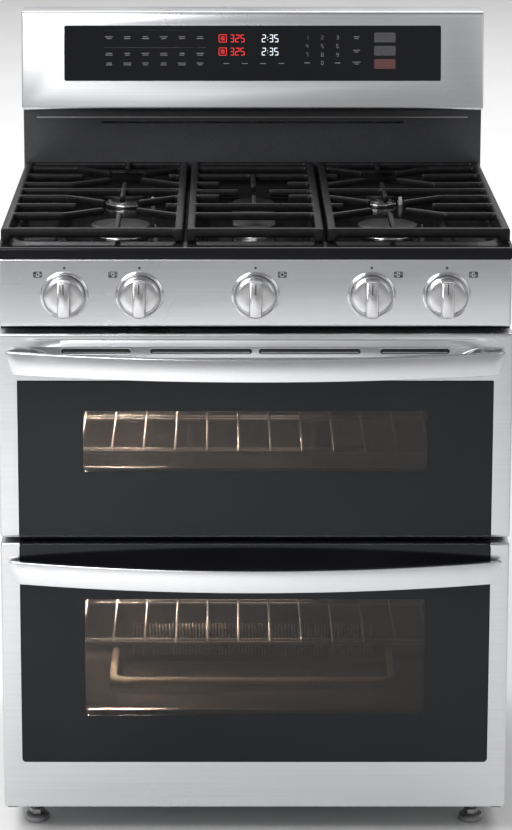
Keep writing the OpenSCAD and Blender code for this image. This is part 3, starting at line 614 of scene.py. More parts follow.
def upper_door_vents():
    """Four rimmed slots in the scoop's wall, each backed by a black plate of painted shade, with a strip of
    baffle in each.
    """
    rims, dark, inside = bmesh.new(), bmesh.new(), bmesh.new()
    wall = DOOR_Y + 8.2
    low, high = 763.2, 771.4
    for x0, x1 in VENTS:
        outline = round_rect(x0 - 0.6, x1 + 0.6, low - 0.6, high + 0.6, 4.4)
        inner = round_rect(x0, x1, low, high, 3.8)
        loft(rims, [at_y(outline, wall + 0.6), at_y(outline, wall - 0.2), at_y(inner, wall),
                    at_y(inner, wall + 0.9)], cyclic=True)
        # black plate just behind the slot: painted shade for the dark inside of the vent
        prism(dark, inner, wall + 0.5, wall + 0.1)
        prism(inside, round_rect(x0 + 3, x1 - 3, low + 1, low + 3.2, 1.0), wall + 0.5, wall + 0.05)
    piece("upper_door_vent_rims", rims, "upper_door", STEEL)
    piece("upper_door_vent_slots", dark, "upper_door", SHADOW_PAINT)
    piece("upper_door_vent_baffle", inside, "upper_door", FOOT)


def lower_door_skin():
    low, high = lo("lower_door_glass"), hi("lower_door_glass")
    half = high.x + 0.5
    skin_shell("lower_door", round_rect(-half, half, low.z - 0.5, high.z + 0.5, 6))


def door_glass(door, low, high):
    """Black printed border round a clear pane, both part of one sheet with ground edges."""
    node = f"{door}_glass"
    half, _, y1, z0, z1 = extent(node)
    y0 = DOOR_Y
    ground = 0.7
    window = round_rect(-PANE_HALF, PANE_HALF, low, high, 5)

    def ring(inset, y):
        return front_ring(half, z0, z1, inset, 6 - inset, y)

    border = lofted([at_y(window, y1), at_y(window, y0), ring(ground, y0), ring(0, y0 + ground),
                     ring(0, y1 - ground), ring(ground, y1)], cyclic=True)
    piece(f"{door}_glass_border", border, door, GLASS, 30, [node])
    pane = bmesh.new()
    prism(pane, window, y0 + 0.02, y1 - 0.02)
    piece(f"{door}_glass_pane", pane, door, WINDOW)


def door_edging(door, edge, glass_edge):
    """Black edging wrapped over the rolled edge that faces the other door.

    The hinge arms swing through the ends of the upper door's, so only its front is covered there.
    """
    inward = 1 if glass_edge > edge else -1
    reach = SKIN_ROLL + EDGING
    whole = [(DOOR_Y - EDGING, glass_edge)]
    whole += [(DOOR_Y + SKIN_ROLL - reach * c, edge + inward * (SKIN_ROLL - reach * s))
              for s, c in quarter(6)]
    whole.append((DOOR_Y + 20, edge - inward * EDGING))
    half = hi(f"{door}_glass").x
    runs = [(-half, half, whole)]
    if inward > 0:
        clear, front = SLOT_X - SLOT_HALF - 1, whole[:5]
        runs = [(-half, -clear, front), (-clear, clear, whole), (clear, half, front)]
    bm = bmesh.new()
    for x0, x1, section in runs:
        back = [(y + EDGING / 2, z + inward * EDGING / 2) for y, z in reversed(section)]
        loft(bm, [at_x(section + back, x) for x in (x0, x1)])
    piece(f"{door}_edging", bm, door, GLASS, 30)


def door_liner(door, low, high):
    """Pressed inner panel: round shoulders, a raised bead and a return lip round the glass."""
    node = f"{door}_liner"
    x1, y0, y1, z0, z1 = extent(node)
    shoulder = 6

    def ring(inset, y, r):
        return front_ring(x1, z0, z1, inset, r, y)

    def opening(grow, y, r):
        return front_ring(LINER_OPENING, low, high, -grow, r, y)

    rings = [ring(0, y0, 8)]
    rings += [ring(shoulder * (1 - c), y1 - shoulder * (1 - s), 8) for s, c in quarter(5)]
    rings += [ring(26, y1, 10), ring(29, y1 - 3, 9), opening(22, y1 - 3, 14), opening(18, y1 - 0.4, 12)]
    rings += [opening(6, y1 - 0.4, 9), opening(1.5, y1 - 2, 8), opening(0, y1 - 5, 8), opening(0, y1 - 9, 8)]
    bm = lofted(rings, cap_start=False, cap_end=False)
    thicken(bm, 0.9)
    bm = hinge_slots(bm, z0 - 2, y0 - 1, y1 + 1, -1, 15)
    piece(f"{door}_liner_pressing", bm, door, OVEN_ENAMEL, 30, [node])


def window_trim(door, low, high):
    """Bright retainer that holds the inner panes, a thin lip round the liner's opening."""
    y1 = hi(f"{door}_liner").y - 1.2
    lip = ((0.3, y1 - 7), (0.3, y1), (1.0, y1 + 0.4), (1.6, y1), (1.6, y1 - 7))
    bm = lofted([front_ring(LINER_OPENING, low, high, inset, 8 - inset, y) for inset, y in lip], cyclic=True)
    piece(f"{door}_window_trim", bm, door, TRIM, 40)


HANDLE_HALF = 368.0
HANDLE_SAG = 48.0
HANDLE_R = (HANDLE_HALF ** 2 + HANDLE_SAG ** 2) / (2 * HANDLE_SAG)
BLADE = 9.0
RAKE = 12.0


def door_handle(door):
    """Bowed blade with eased edges and raked ends, on two flared brackets."""
    node = f"{door}_handle"
    _, front, _, z0, z1 = extent(node)
    height = z1 - z0
    centre_y = front + HANDLE_R
    mid_rho = HANDLE_R - BLADE / 2
    section = []
    for rho, z in round_rect(HANDLE_R - BLADE, HANDLE_R, 0, height, 1.4, 4):
        crown = 0.2 * (1 - (2 * z / height - 1) ** 2)
        section.append((rho - (0.2 - crown if rho > mid_rho else 0), z))
    end = HANDLE_HALF - RAKE
    run = [(-1 + 2 * i / 60, 1.0, end - 1.2) for i in range(61)]
    stations = [(-1.0, 0.86, end)] + run + [(1.0, 0.86, end)]
    rings = []
    for t, size, reach in stations:
        ring = []
        for rho, z in section:
            rr = mid_rho + (rho - mid_rho) * size
            zz = height / 2 + (z - height / 2) * (0.75 + size / 4)
            a = t * math.asin((reach + RAKE * zz / height) / HANDLE_R)
            ring.append(Vector((rr * math.sin(a), centre_y - rr * math.cos(a), z0 + zz)))
        rings.append(ring)
    piece(f"{door}_handle_blade", lofted(rings), door, HANDLE, 40, [node])

    brackets = bmesh.new()
    for side in (-1, 1):
        rings = []
        for i in range(9):
            t = i / 8
            flare = (1 - t) ** 2
            low, high = z0 + 6 - 3 * flare, z1 - 16 + 3 * flare
            ring = []
            for x, z in round_rect(326 - 12 * flare, 350 + 1.5 * flare, low, high, 4):
                back = centre_y - math.sqrt((HANDLE_R - BLADE + 0.8) ** 2 - x * x)
                ring.append(Vector((side * x, DOOR_Y + (back - DOOR_Y) * t, z)))
            rings.append(ring)
        loft(brackets, rings)
    piece(f"{door}_handle_brackets", brackets, door, HANDLE, 40)


# ---------- ovens ----------

LAMP_X = -200
LAMP_DROP = 40
TUBE_R = 6
LEDGE_REACH = 14
RACK_PITCH = 48.0
FLUTE_PITCH = 5.5
FLUTE_TOP = 184.0
COVER_HALF = 220.0


def rounded_cavity(name, node, ledges):
    """Seamless enamelled box: round edges, a front lip and pressed rack ledges."""
    x1, y0, y1, z0, z1 = extent(node)
    x1, y1, z0, z1 = x1 - SHEET, y1 - SHEET, z0 + SHEET, z1 - SHEET
    r = 20.0

    def ring(inset, y, corner):
        return front_ring(x1, z0, z1, inset, corner, y, 8)

    rings = [ring(0.2, y0, r), ring(0, y0 + 2, r)]
    rings += [ring(r * (1 - c) * 0.98, y1 - r * (1 - s), r - r * (1 - c) * 0.9) for s, c in quarter(8)]
    bm = lofted(rings, cap_start=False)
    thicken(bm, -0.9)
    fixed(f"{name}_shell", bm, OVEN_ENAMEL, 40, [node])
    rails = bmesh.new()
    for side in (-1, 1):
        for ledge in ledges:
            top = z0 + ledge
            rings = []
            for y, reach in ((y0 + 10, 2), (y0 + 18, LEDGE_REACH), (y1 - 40, LEDGE_REACH), (y1 - 24, 2)):
                section = ((-0.5, 0), (reach - 1, 0), (reach, 1.2), (reach, 2.8), (reach - 1, 4), (-0.5, 4))
                rings.append([Vector((side * (x1 - out), y, top - down)) for out, down in section])
            loft(rails, rings)
    fixed(f"{name}_rack_ledges", rails, OVEN_ENAMEL, 40)


def wire_rack(name):
    """Outer hoop with bent corners, paired cross bars and wires turned down at the front."""
    x1, y0, y1, z, _ = extent(name)
    x1, y0, y1, z = x1 - 3, y0 + 3, y1 - 3, z + 3
    mid = (y0 + y1) / 2
    bm = bmesh.new()
    tube(bm, [(x, y, z) for x, y in round_rect(-x1, x1, y0, y1, 14)], 3.0, 12, True)
    for y in (y0 + 15, mid - 8, mid + 8, y1 - 12):
        tube(bm, [(-x1 + 1, y, z - 0.2), (x1 - 1, y, z - 0.2)], 2.5, 10)
    wire = [(y0 - 2.4, -1.5), (y0 - 1.6, 1.4), (y0 + 2, 3.0)]
    wire += [(y1 - 2, 3.0), (y1 + 1.6, 1.4), (y1 + 2.4, -1.5)]
    for i in range(-6, 6):
        tube(bm, [((i + 0.5) * RACK_PITCH, y, z + up) for y, up in wire], 2.0, 10)
    piece(f"{name}_wires", bm, name, WIRE, 50, [name])


def oven_lamp():
    """Glass domes at the rear wall, with their sockets behind it."""
    domes, sockets = bmesh.new(), bmesh.new()
    y_front = lo("oven_lamps").y
    r, back = 19, OVEN_BACK
    dome = [(y_front + r * (1 - c) * 0.55, r * s) for s, c in quarter(10)] + [(back + 1, r)]
    socket = [(back + 2, 18), (back + 6, 18), (back + 6.5, 13), (back + 38, 13), (back + 40, 11)]
    for cavity in ("upper_cavity", "lower_cavity"):
        centre = Vector((LAMP_X, 0, hi(cavity).z - SHEET - LAMP_DROP))
        lathe(domes, centre, ALONG_Y, dome, 32)
        lathe(sockets, centre, ALONG_Y, socket, 32)
    fixed("oven_lamp_domes", domes, LAMP, 40, ["oven_lamps"])
    fixed("oven_lamp_sockets", sockets, CERAMIC, 40)


def oven_burner_tubes():
    """Bent gas tubes with a row of ports along each side, enamelled in the upper oven; the ports are black
    stubs of painted shade.
    """
    enamelled, bare, ports = bmesh.new(), bmesh.new(), bmesh.new()
    floor = lo("upper_cavity").z + SHEET + 8
    roof = hi("upper_cavity").z - SHEET - 16
    low = lo("lower_cavity").z + SHEET + 12
    y1 = OVEN_BACK - 1
    bend = 25
    for bm, z, x, front in ((enamelled, roof, 100, 62), (enamelled, floor, 100, 62), (bare, low, 229, 328)):
        y0 = OVEN_Y - 0.5 + front
        path = [(-x, y1, z), (-x, y0 + bend, z)]
        path += [(-x + bend * (1 - c), y0 + bend - bend * s, z) for s, c in quarter(6)[1:]]
        path += [(-p[0], p[1], p[2]) for p in reversed(path)]
        tube(bm, path, TUBE_R, 14)
        for i in range(18):
            y = y0 + 34 + i * (y1 - y0 - 50) / 18
            for side in (-1, 1):
                # black stub set into the tube: painted shade standing in for the port hole
                port = [(TUBE_R - 0.8, 1.2), (TUBE_R + 0.15, 1.2)]
                lathe(ports, Vector((side * x, y, z)), (-side, 0, 0), port, 8)
    fixed("upper_oven_burner_tubes", enamelled, OVEN_ENAMEL, 40, ["oven_burners"])
    fixed("lower_oven_burner_tube", bare, TUBE, 40)
    fixed("oven_burner_ports", ports, FRAME_PAINT)


def convection_cover():
    """Dished cover with fine upright flutes, in front of the fan."""
    _, y0, _, z0, z1 = extent("convection_unit")
    steps = ((0, 0, 40, OVEN_BACK - 1), (0, 0, 40, OVEN_BACK - 5), (10, 10, 32, y0 + 1.5), (24, 16, 22, y0))
    bm = lofted([front_ring(COVER_HALF - side, z0 + end, z1 - end, 0, r, y, 10)
                 for side, end, r, y in steps], cap_start=False)
    fixed("convection_cover_dish", bm, OVEN_ENAMEL, 30)
    flutes = bmesh.new()
    count = int((COVER_HALF - 20) / FLUTE_PITCH)
    run = [(1.6, z0 + 10), (-0.4, z0 + 14), (-0.4, FLUTE_TOP - 3), (1.8, FLUTE_TOP)]
    for i in range(-count, count + 1):
        tube(flutes, [(i * FLUTE_PITCH, y0 + y, z) for y, z in run], 1.6, 8)
    fixed("convection_cover_flutes", flutes, FLUTED)


def gasket_ropes():
    """Woven rope seals round both oven mouths."""
    bm = bmesh.new()
    y = (DOOR_BACK + 0.5 + FRAME_Y) / 2
    for cavity in ("upper_cavity", "lower_cavity"):
        z0, z1 = lo(cavity).z + SHEET - 9, hi(cavity).z - SHEET + 9
        tube(bm, front_ring(312, z0, z1, 0, 16, y, 8), 2.2, 10, True)
    fixed("oven_gasket_ropes", bm, ROPE, 60, ["door_gaskets"])


# ---------- cooktop ----------

WELLS = ((-205, 93), (0, 84), (205, 93))
WELL_Y = (DOOR_Y + 72, DOOR_Y + 566)


def box_distance(x, y, cx, hx, y0, y1, r):
    """Signed distance to a round-cornered rectangle, negative inside."""
    dx, dy = abs(x - cx) - hx + r, abs(y - (y0 + y1) / 2) - (y1 - y0) / 2 + r
    return math.hypot(max(dx, 0), max(dy, 0)) + min(max(dx, dy), 0) - r


def cooktop_pan():
    """One pressed and enamelled sheet: rim, sunken shelf and three wells with soft walls."""
    x1, y0, y1, _, _ = extent("cooktop_pan")

    def height(x, y):
        shelf = box_distance(x, y, 0, x1 - 29, y0 + 54, y1 - 10, 22)
        z = PAN_TOP - (PAN_TOP - PAN_SHELF) * ease(0.5 - shelf / 8)
        well = min(box_distance(x, y, cx, w, *WELL_Y, 24) for cx, w in WELLS)
        return z - (PAN_SHELF - PAN_FLOOR) * ease(0.15 - well / 16)

    def ring(inset, r, z):
        return at_z(round_rect(-x1 + inset, x1 - inset, y0 + inset, y1 - inset, r, 4), z)

    edge = 5.0
    nx, ny = 236, 192
    xs = [-x1 + edge + 2 * (x1 - edge) * i / nx for i in range(nx + 1)]
    ys = [y0 + edge + (y1 - y0 - 2 * edge) * j / ny for j in range(ny + 1)]
    bm = lofted([[Vector((x, y, height(x, y))) for x in xs] for y in ys], closed=False)
    rings = []
    for s, c in quarter(6):
        inset = edge * (1 - s)
        rings.append(ring(inset, 3 + edge - inset if s else 0.01, PAN_TOP - 3.5 * (1 - c)))
    lip = PAN_TOP - 16
    rings += [ring(0, 8, lip), ring(1.5, 7, lip), ring(1.5, 7, PAN_TOP - 4)]
    loft(bm, rings, cap_start=False, cap_end=False)
    fixed("cooktop_pressing", bm, ENAMEL, 50, ["cooktop_pan"])


ROUND_CAPS = ("cap_left_front", "cap_left_rear", "cap_right_front", "cap_right_rear")
ROUND_BURNERS = [(middle(cap).x, middle(cap).y, hi(cap).x - middle(cap).x) for cap in ROUND_CAPS]
OVAL_Y = middle("cap_oval").y
OVAL_W = hi("cap_oval").x * 2
OVAL_LEN = hi("cap_oval").y - lo("cap_oval").y


def oval_ring(inset, z):
    return at_z(stadium(0, OVAL_Y, OVAL_W - 2 * inset, OVAL_LEN - 2 * inset), z)


def burner_caps():
    z0 = lo("cap_oval").z
    rim = [(0, 1.5), (0.6, 0), (3.0, 0), (4.4, 0.8), (5.6, 3), (6.4, 7)]
    for name, (x, y, r) in zip(ROUND_CAPS, ROUND_BURNERS):
        bm = bmesh.new()
        profile = [(h, r - inset) for h, inset in rim] + [(6.9, r * 0.6), (7.0, r * 0.3), (7.0, 0)]
        lathe(bm, Vector((x, y, z0)), ALONG_Z, profile, 72)
        piece(f"{name}_disc", bm, name, CAP, 50, [name])
    bm = lofted([oval_ring(inset, z0 + h) for h, inset in rim + [(6.9, 16), (7.0, 26)]])
    piece("cap_oval_disc", bm, "cap_oval", CAP, 50, ["cap_oval"])


def burner_bases():
    """Die-cast heads with flame ports round a flared foot."""
    bm = bmesh.new()
    for x, y, r in ROUND_BURNERS:
        ports = 2 * round(r * 0.42) * 3
        rings = []
        for z, base, slot in ((-14, 15, 0), (0, 15, 0), (0.2, r - 2, 0), (2.5, r - 2, 0), (7, r - 6, 0),
                              (7.4, r - 8, 1.6), (12.6, r - 8, 1.6), (13.0, r - 8, 0), (13.9, r - 9, 0)):
            ring = []
            for i in range(ports * 2):
                a = math.pi * i / ports
                rr = base - (slot if (i // 2) % 2 else 0)
                ring.append(Vector((x + rr * math.cos(a), y + rr * math.sin(a), PAN_FLOOR + z)))
            rings.append(ring)
        loft(bm, rings)
    for tier in (((1, 0), (1, 3), (2.5, 6.2), (3.5, 7)), ((7, 6.9), (7, 9.9), (7, 13.1), (7.6, 13.9))):
        loft(bm, [oval_ring(inset, PAN_FLOOR + z) for inset, z in tier])
    fixed("burner_heads", bm, ALUMINIUM, 35, ["burner_bases"])

    polished = bmesh.new()
    collar = ((1.2, 0.3), (0.6, 1.4), (0.6, 4.4), (1.2, 5.6), (2.6, 6.0), (3.6, 5.2), (3.6, 0.3))
    for x, y, r in ROUND_BURNERS:
        rings = [at_z(circle(x, y, r - inset, 72), PAN_FLOOR + z) for inset, z in collar]
        loft(polished, rings, cyclic=True)
    fixed("burner_trim_rings", polished, CHROME, 50)


def oval_burner_ports():
    # black blocks on the head's sides: painted shade standing in for the flame port openings
    slots = bmesh.new()
    half = (OVAL_LEN - OVAL_W) / 2
    x0, x1 = OVAL_W / 2 - 7.5, OVAL_W / 2 - 6.9
    for low_x, high_x in ((-x1, -x0), (x0, x1)):
        for i in range(19):
            y = OVAL_Y - half + 2 * half * i / 18
            soft_block(slots, (low_x, y - 1.4, PAN_FLOOR + 7.6), (high_x, y + 1.4, PAN_FLOOR + 12.6), 0.3)
    fixed("oval_burner_ports", slots, FRAME_PAINT)


def igniters():
    """Ceramic posts with a metal tip, one beside each burner."""
    ceramic, tips = bmesh.new(), bmesh.new()
    spots = [(x + r + 6, y) for x, y, r in ROUND_BURNERS] + [(0, OVAL_Y - OVAL_LEN / 2 - 8)]
    for x, y in spots:
        centre = Vector((x, y, PAN_FLOOR))
        lathe(ceramic, centre, ALONG_Z, [(0, 4), (8, 4), (9, 3.2), (12.4, 3.0), (13, 2.4)], 20)
        lathe(tips, centre, ALONG_Z, [(13.02, 1.4), (17.2, 1.4), (18, 0.6)], 12)
    fixed("igniter_ceramics", ceramic, CERAMIC, 40, ["burner_igniters"])
    fixed("igniter_tips", tips, WIRE)


# distances behind the door faces: bars at the front, middle and rear, and the rear feet
FRONT_D, MIDDLE_D, REAR_D, REAR_FOOT_D = 48, 371, 611, 598
BURNERS_D = (240, 498)
BURNER_X = 205.0
GRATE_TOP = hi("grate_left").z
GRATE_SECTION = ((-1, 0.3), (-0.72, 0), (0.72, 0), (1, 0.3), (0.78, 1), (-0.78, 1))


def bar(bm, a, b, width=9.0, drop=12.0):
    """Grate bar between two points, each given as x and the distance behind the door faces.

    It is wider at its top than below, and runs on a little at both ends.
    """
    a, b = Vector((a[0], DOOR_Y + a[1])), Vector((b[0], DOOR_Y + b[1]))
    along = (b - a).normalized()
    side = Vector((-along.y, along.x)) * width / 2
    loft(bm, [[Vector((p.x + side.x * s, p.y + side.y * s, GRATE_TOP - drop * d)) for s, d in GRATE_SECTION]
              for p in (a - along, b + along)])


def grate_frame(bm, x0, x1, bars):
    for d in bars:
        bar(bm, (x0 + 2, d), (x1 - 2, d))
    bar(bm, (x0 + 2, FRONT_D), (x1 - 2, FRONT_D), 12, 14.5)
    for x in (x0 + 7, x1 - 7):
        bar(bm, (x, 43), (x, 615), 13.6, 14)
        foot = PAN_TOP if abs(x) > HALF_W - 30 else PAN_SHELF
        for d, low in ((FRONT_D, PAN_TOP), (MIDDLE_D, foot), (REAR_FOOT_D, foot)):
            y = DOOR_Y + d
            soft_block(bm, (x - 6.5, y - 6, low + 0.4), (x + 6.5, y + 6, GRATE_TOP - 6), 1)


def side_grate(name, mirror):
    """Grate over two burners, with bent fingers that point at each."""
    x0, x1, bx = 106.0, 376.0, BURNER_X
    bm = bmesh.new()
    grate_frame(bm, x0, x1, (MIDDLE_D, REAR_D))
    reaches = (((FRONT_D, 171), (305, MIDDLE_D)), ((MIDDLE_D, 428), (566, REAR_D)))
    for d, reach in zip(BURNERS_D, reaches):
        for edge, side in ((x0, -1), (x1, 1)):
            root = edge - side * 3
            for k in (-1, 1):
                knee = (bx + side * 84, d + k * 73)
                bar(bm, (root, knee[1]), knee)
                bar(bm, knee, (bx + side * 27, d + k * 31), 8.6)
            bar(bm, (root, d + 3), (bx + side * 69, d + 3))
        for start, end in reach:
            bar(bm, (bx, start + 1), (bx, end - 1))
    if mirror:
        bmesh.ops.scale(bm, vec=(-1, 1, 1), verts=bm.verts)
        bmesh.ops.reverse_faces(bm, faces=bm.faces)
    piece(f"{name}_casting", cast(bm), name, IRON, 60, [name])


def centre_grate():
    """Grate over the oval burner, with straight fingers from both sides."""
    half = hi("grate_centre").x
    bm = bmesh.new()
    grate_frame(bm, -half, half, (168, 243, 501, 573, REAR_D))
    for side in (-1, 1):
        for d, reach in ((428, 54), (316, 54), (361, 24)):
            bar(bm, (side * (half - 3), d), (side * (reach + 1), d))
    bar(bm, (0, 244), (0, 315))
    bar(bm, (0, 400), (0, 500))
    piece("grate_centre_casting", cast(bm), "grate_centre", IRON, 60, ["grate_centre"])


# ---------- controls ----------

PRINT_Y = PANEL_Y - 0.12
LIT_BURNERS = (1, 0, 2, 4, 3)
SKIRT = ((0, 2), (0, 0.6), (0.6, 0), (4.4, 0), (5.6, 0.7), (6.4, 2.2), (7.6, 3.4), (8.4, 6), (8.6, 14))


def control_panel():
    """Front fascia: round edges all round, open at the back."""
    x1, _, _, z0, z1 = extent("control_panel")
    r = 3.0

    def ring(inset, y):
        return front_ring(x1, z0, z1, inset, max(4 - inset, 0.8), y)

    rings = [ring(r * (1 - s), PANEL_Y + r * (1 - c)) for s, c in quarter(6)]
    rings += [ring(0, FRAME_Y), ring(SHEET, FRAME_Y), ring(SHEET, PANEL_Y + r)]
    fixed("control_panel_fascia", lofted(rings, cap_end=False), STEEL, 25, ["control_panel"])


def print_dot(bm, x, z, r, n):
    prism(bm, circle(x, z, r, n), PRINT_Y, PRINT_Y + 0.1)


def burner_mark(bm, x, z, lit):
    """Small outline of a cooktop with five dots, the one in use drawn larger."""
    w, h, line = 6.6, 4.6, 1.2
    outer = round_rect(x - w, x + w, z - h, z + h, 1.6, 3)
    inner = round_rect(x - w + line, x + w - line, z - h + line, z + h - line, 1.1, 3)
    loft(bm, [at_y(outer, PRINT_Y), at_y(inner, PRINT_Y),
              at_y(inner, PRINT_Y + 0.1), at_y(outer, PRINT_Y + 0.1)], cyclic=True)
    for i, (dx, dz) in enumerate(((-3.8, -1.9), (-3.8, 1.9), (0, 0), (3.8, 1.9), (3.8, -1.9))):
        print_dot(bm, x + dx, z + dz, 2.2 if i == lit else 1.4, 14)


def panel_marks():
    """A burner diagram beside each knob and a dot above it."""
    bm = bmesh.new()
    for i, (centre, lit) in enumerate(zip(KNOBS, LIT_BURNERS)):
        side = -1 if i < 2 else 1
        burner_mark(bm, centre.x + side * 39, centre.z + 31, lit)
        print_dot(bm, centre.x, centre.z + 41, 2.0, 16)
    fixed("panel_marks", bm, MARK_BLACK)


def knob_bezels():
    bm = bmesh.new()
    profile = [(0.3, 31.2), (4.0, 31.2), (4.5, 31.8), (4.5, 32.6), (3.2, 33.4), (2.8, 34.4), (2.2, 35.2),
               (0.8, 35.5), (0.0, 35.5)]
    for centre in KNOBS:
        loft(bm, [at_y(circle(centre.x, centre.z, r, 72), PANEL_Y - h) for h, r in profile], cyclic=True)
    fixed("knob_bezel_rings", bm, CHROME, 40, ["knob_bezels"])


def grip_outline(x, z, r, half, n=7):
    """Circle of radius r cut down to a bar of half-width half, with round shoulders."""
    a0 = math.acos(half / r)
    points = []
    for turn in (0, math.pi):
        for i in range(n + 1):
            a = a0 + (math.pi - 2 * a0) * i / n + turn
            points.append((x + r * math.cos(a), z + r * math.sin(a)))
    return points


def knobs():
    """Stepped skirt, a bar to grip and a pointer line on its front."""
    for i, centre in enumerate(KNOBS, 1):
        name = f"knob_{i}"
        back, front = hi(name).y, lo(name).y
        r = hi(name).x - centre.x
        bm = bmesh.new()
        skirt = [(-out, r - inset) for out, inset in SKIRT]
        lathe(bm, Vector((centre.x, back, centre.z)), ALONG_Y, skirt, 64)
        levels = [(back - 6, 2.2, 10), (front + 6, 2.4, 9.4), (front + 2.4, 2.8, 9.0),
                  (front + 0.8, 3.6, 8.2), (front, 5.0, 6.6)]
        loft(bm, [at_y(grip_outline(centre.x, centre.z, r - inset, half), y) for y, inset, half in levels])
        piece(f"{name}_grip", bm, name, KNOB_METAL, 35, [name])
        mark = bmesh.new()
        line = round_rect(centre.x - 0.9, centre.x + 0.9, centre.z + 8, centre.z + r - 5.6, 0.8, 3)
        prism(mark, line, front - 0.02, front + 0.2)
        piece(f"{name}_pointer", mark, name, MARK_BLACK)


# ---------- backguard ----------

CONSOLE_HALF, FACE_LOW_Y, _, CONSOLE_LOW, CONSOLE_HIGH = extent("console_shell")
CONSOLE_BACK = REAR_Y - 10
FACE_HIGH_Y = FACE_LOW_Y + 25
GLASS_HALF = 308.0
GLASS_LOW = 48.0
GLASS_HIGH = 138.0
VENT_HALF, VENT_LOW, VENT_HIGH = 250, 1008.5, 1012
TRIM_HALF, TRIM_LOW = 356, 1018
TILT = math.atan2(FACE_HIGH_Y - FACE_LOW_Y, CONSOLE_HIGH - CONSOLE_LOW)


def on_face(outline, out):
    """Ring on the console's sloping face: u across, v up the slope, out towards the person."""
    return [Vector((u, FACE_LOW_Y + v * math.sin(TILT) - out * math.cos(TILT),
                    CONSOLE_LOW + v * math.cos(TILT) + out * math.sin(TILT))) for u, v in outline]


def face_plate(bm, outline, out0, out1):
    loft(bm, [on_face(outline, out0), on_face(outline, out1)])


def face_mark(bm, u0, u1, v0, v1, r, out, thick, n=2):
    """Thin raised rectangle on the console's face."""
    face_plate(bm, round_rect(u0, u1, v0, v1, r, n), out, out + thick)


def fillet(corners, radii, n=6):
    """Closed outline with each corner rounded to its own radius."""
    points = []
    count = len(corners)
    for i, (corner, r) in enumerate(zip(corners, radii)):
        p, before, after = Vector(corner), Vector(corners[i - 1]), Vector(corners[(i + 1) % count])
        a, b = (before - p).normalized(), (after - p).normalized()
        reach = r / math.tan(a.angle(b) / 2)
        start, end = p + a * reach, p + b * reach
        for k in range(n + 1):
            t = k / n
            points.append(tuple(start * (1 - t) ** 2 + p * 2 * t * (1 - t) + end * t ** 2))
    return points


def console():
    """Stainless box with a sloping face, round edges and a pocket for the touch glass."""
    rings = []
    for x, shrink in ((-CONSOLE_HALF, 2.0), (-CONSOLE_HALF + 0.8, 0.6), (-CONSOLE_HALF + 2.5, 0.0)):
        low, high, back = CONSOLE_LOW + shrink, CONSOLE_HIGH - shrink, CONSOLE_BACK - shrink * 0.2
        corners = [(FACE_LOW_Y + shrink, low), (FACE_HIGH_Y + shrink, high), (back, high), (back, low)]
        rings.append(at_x(fillet(corners, (5, 7, 3, 2)), x))
    rings += [[Vector((-p.x, p.y, p.z)) for p in ring] for ring in reversed(rings)]
    pocket = bmesh.new()
    half = GLASS_HALF + 0.4
    face_mark(pocket, -half, half, GLASS_LOW - 0.4, GLASS_HIGH + 0.4, 3, -5, 10, 6)
    fixed("console_body", carve(lofted(rings), pocket), STEEL, 30, ["console_shell"])


STROKES = {"0": "abcdef", "1": "bc", "2": "abdeg", "3": "abcdg", "4": "bcfg",
           "5": "acdfg", "6": "acdefg", "7": "abc", "8": "abcdefg", "9": "abcdfg"}
SEGMENT_T = 0.08


def digit(bm, figure, u, v, width, height, out):
    """Figure built from straight strokes, with its lower left corner at (u, v)."""
    t = width * 0.17
    gap = t * 0.25
    mid = height / 2
    spots = {
        "a": (t, height - t, width - t, height), "g": (t, mid - t / 2, width - t, mid + t / 2),
        "d": (t, 0, width - t, t), "f": (0, mid + gap, t, height - gap),
        "b": (width - t, mid + gap, width, height - gap), "e": (0, gap, t, mid - gap),
        "c": (width - t, gap, width, mid - gap)}
    for name in STROKES[figure]:
        x0, z0, x1, z1 = spots[name]
        face_mark(bm, u + x0, u + x1, v + z0, v + z1, t * 0.3, out, SEGMENT_T)


def readout(bm, text, u, v):
    """Lit figures in a row, with two dots for a colon."""
    width, height, out = 6.6, 12.5, 0.05
    for mark in text:
        if mark == ":":
            for z in (0.3, 0.62):
                dot = circle(u + width * 0.15, v + height * z, width * 0.09, 10)
                face_plate(bm, dot, out, out + SEGMENT_T)
            u += width * 0.5
        else:
            digit(bm, mark, u, v, width, height, out)
            u += width * 1.3


def heat_icon(bm, u, v):
    """Small square outline with three bars inside: the mark for the oven in use."""
    outer = round_rect(u - 6.5, u + 6.5, v - 6.5, v + 6.5, 1.5, 3)
    inner = round_rect(u - 5.6, u + 5.6, v - 5.6, v + 5.6, 0.8, 3)
    low, high = 0.05, 0.12
    edges = ((outer, low), (inner, low), (inner, high), (outer, high))
    loft(bm, [on_face(ring, out) for ring, out in edges], cyclic=True)
    for dv in (-2.4, 0, 2.4):
        face_mark(bm, u - 3.2, u + 3.2, v + dv - 0.5, v + dv + 0.5, 0.3, low, high - low)


def dash(bm, u, v, width, height=1.0):
    """Stand-in for a printed word."""
    face_mark(bm, u - width / 2, u + width / 2, v - height / 2, v + height / 2, 0.5, 0.04, 0.1)


def console_glass():
    """Touch glass with eased edges."""
    rings = []
    for inset, out in ((0, -4), (0, -0.5), (0.5, 0)):
        half = GLASS_HALF - inset
        rings.append(on_face(round_rect(-half, half, GLASS_LOW + inset, GLASS_HIGH - inset, 2.5), out))
    fixed("console_touch_glass", lofted(rings), GLASS, 30, ["console_glass"])


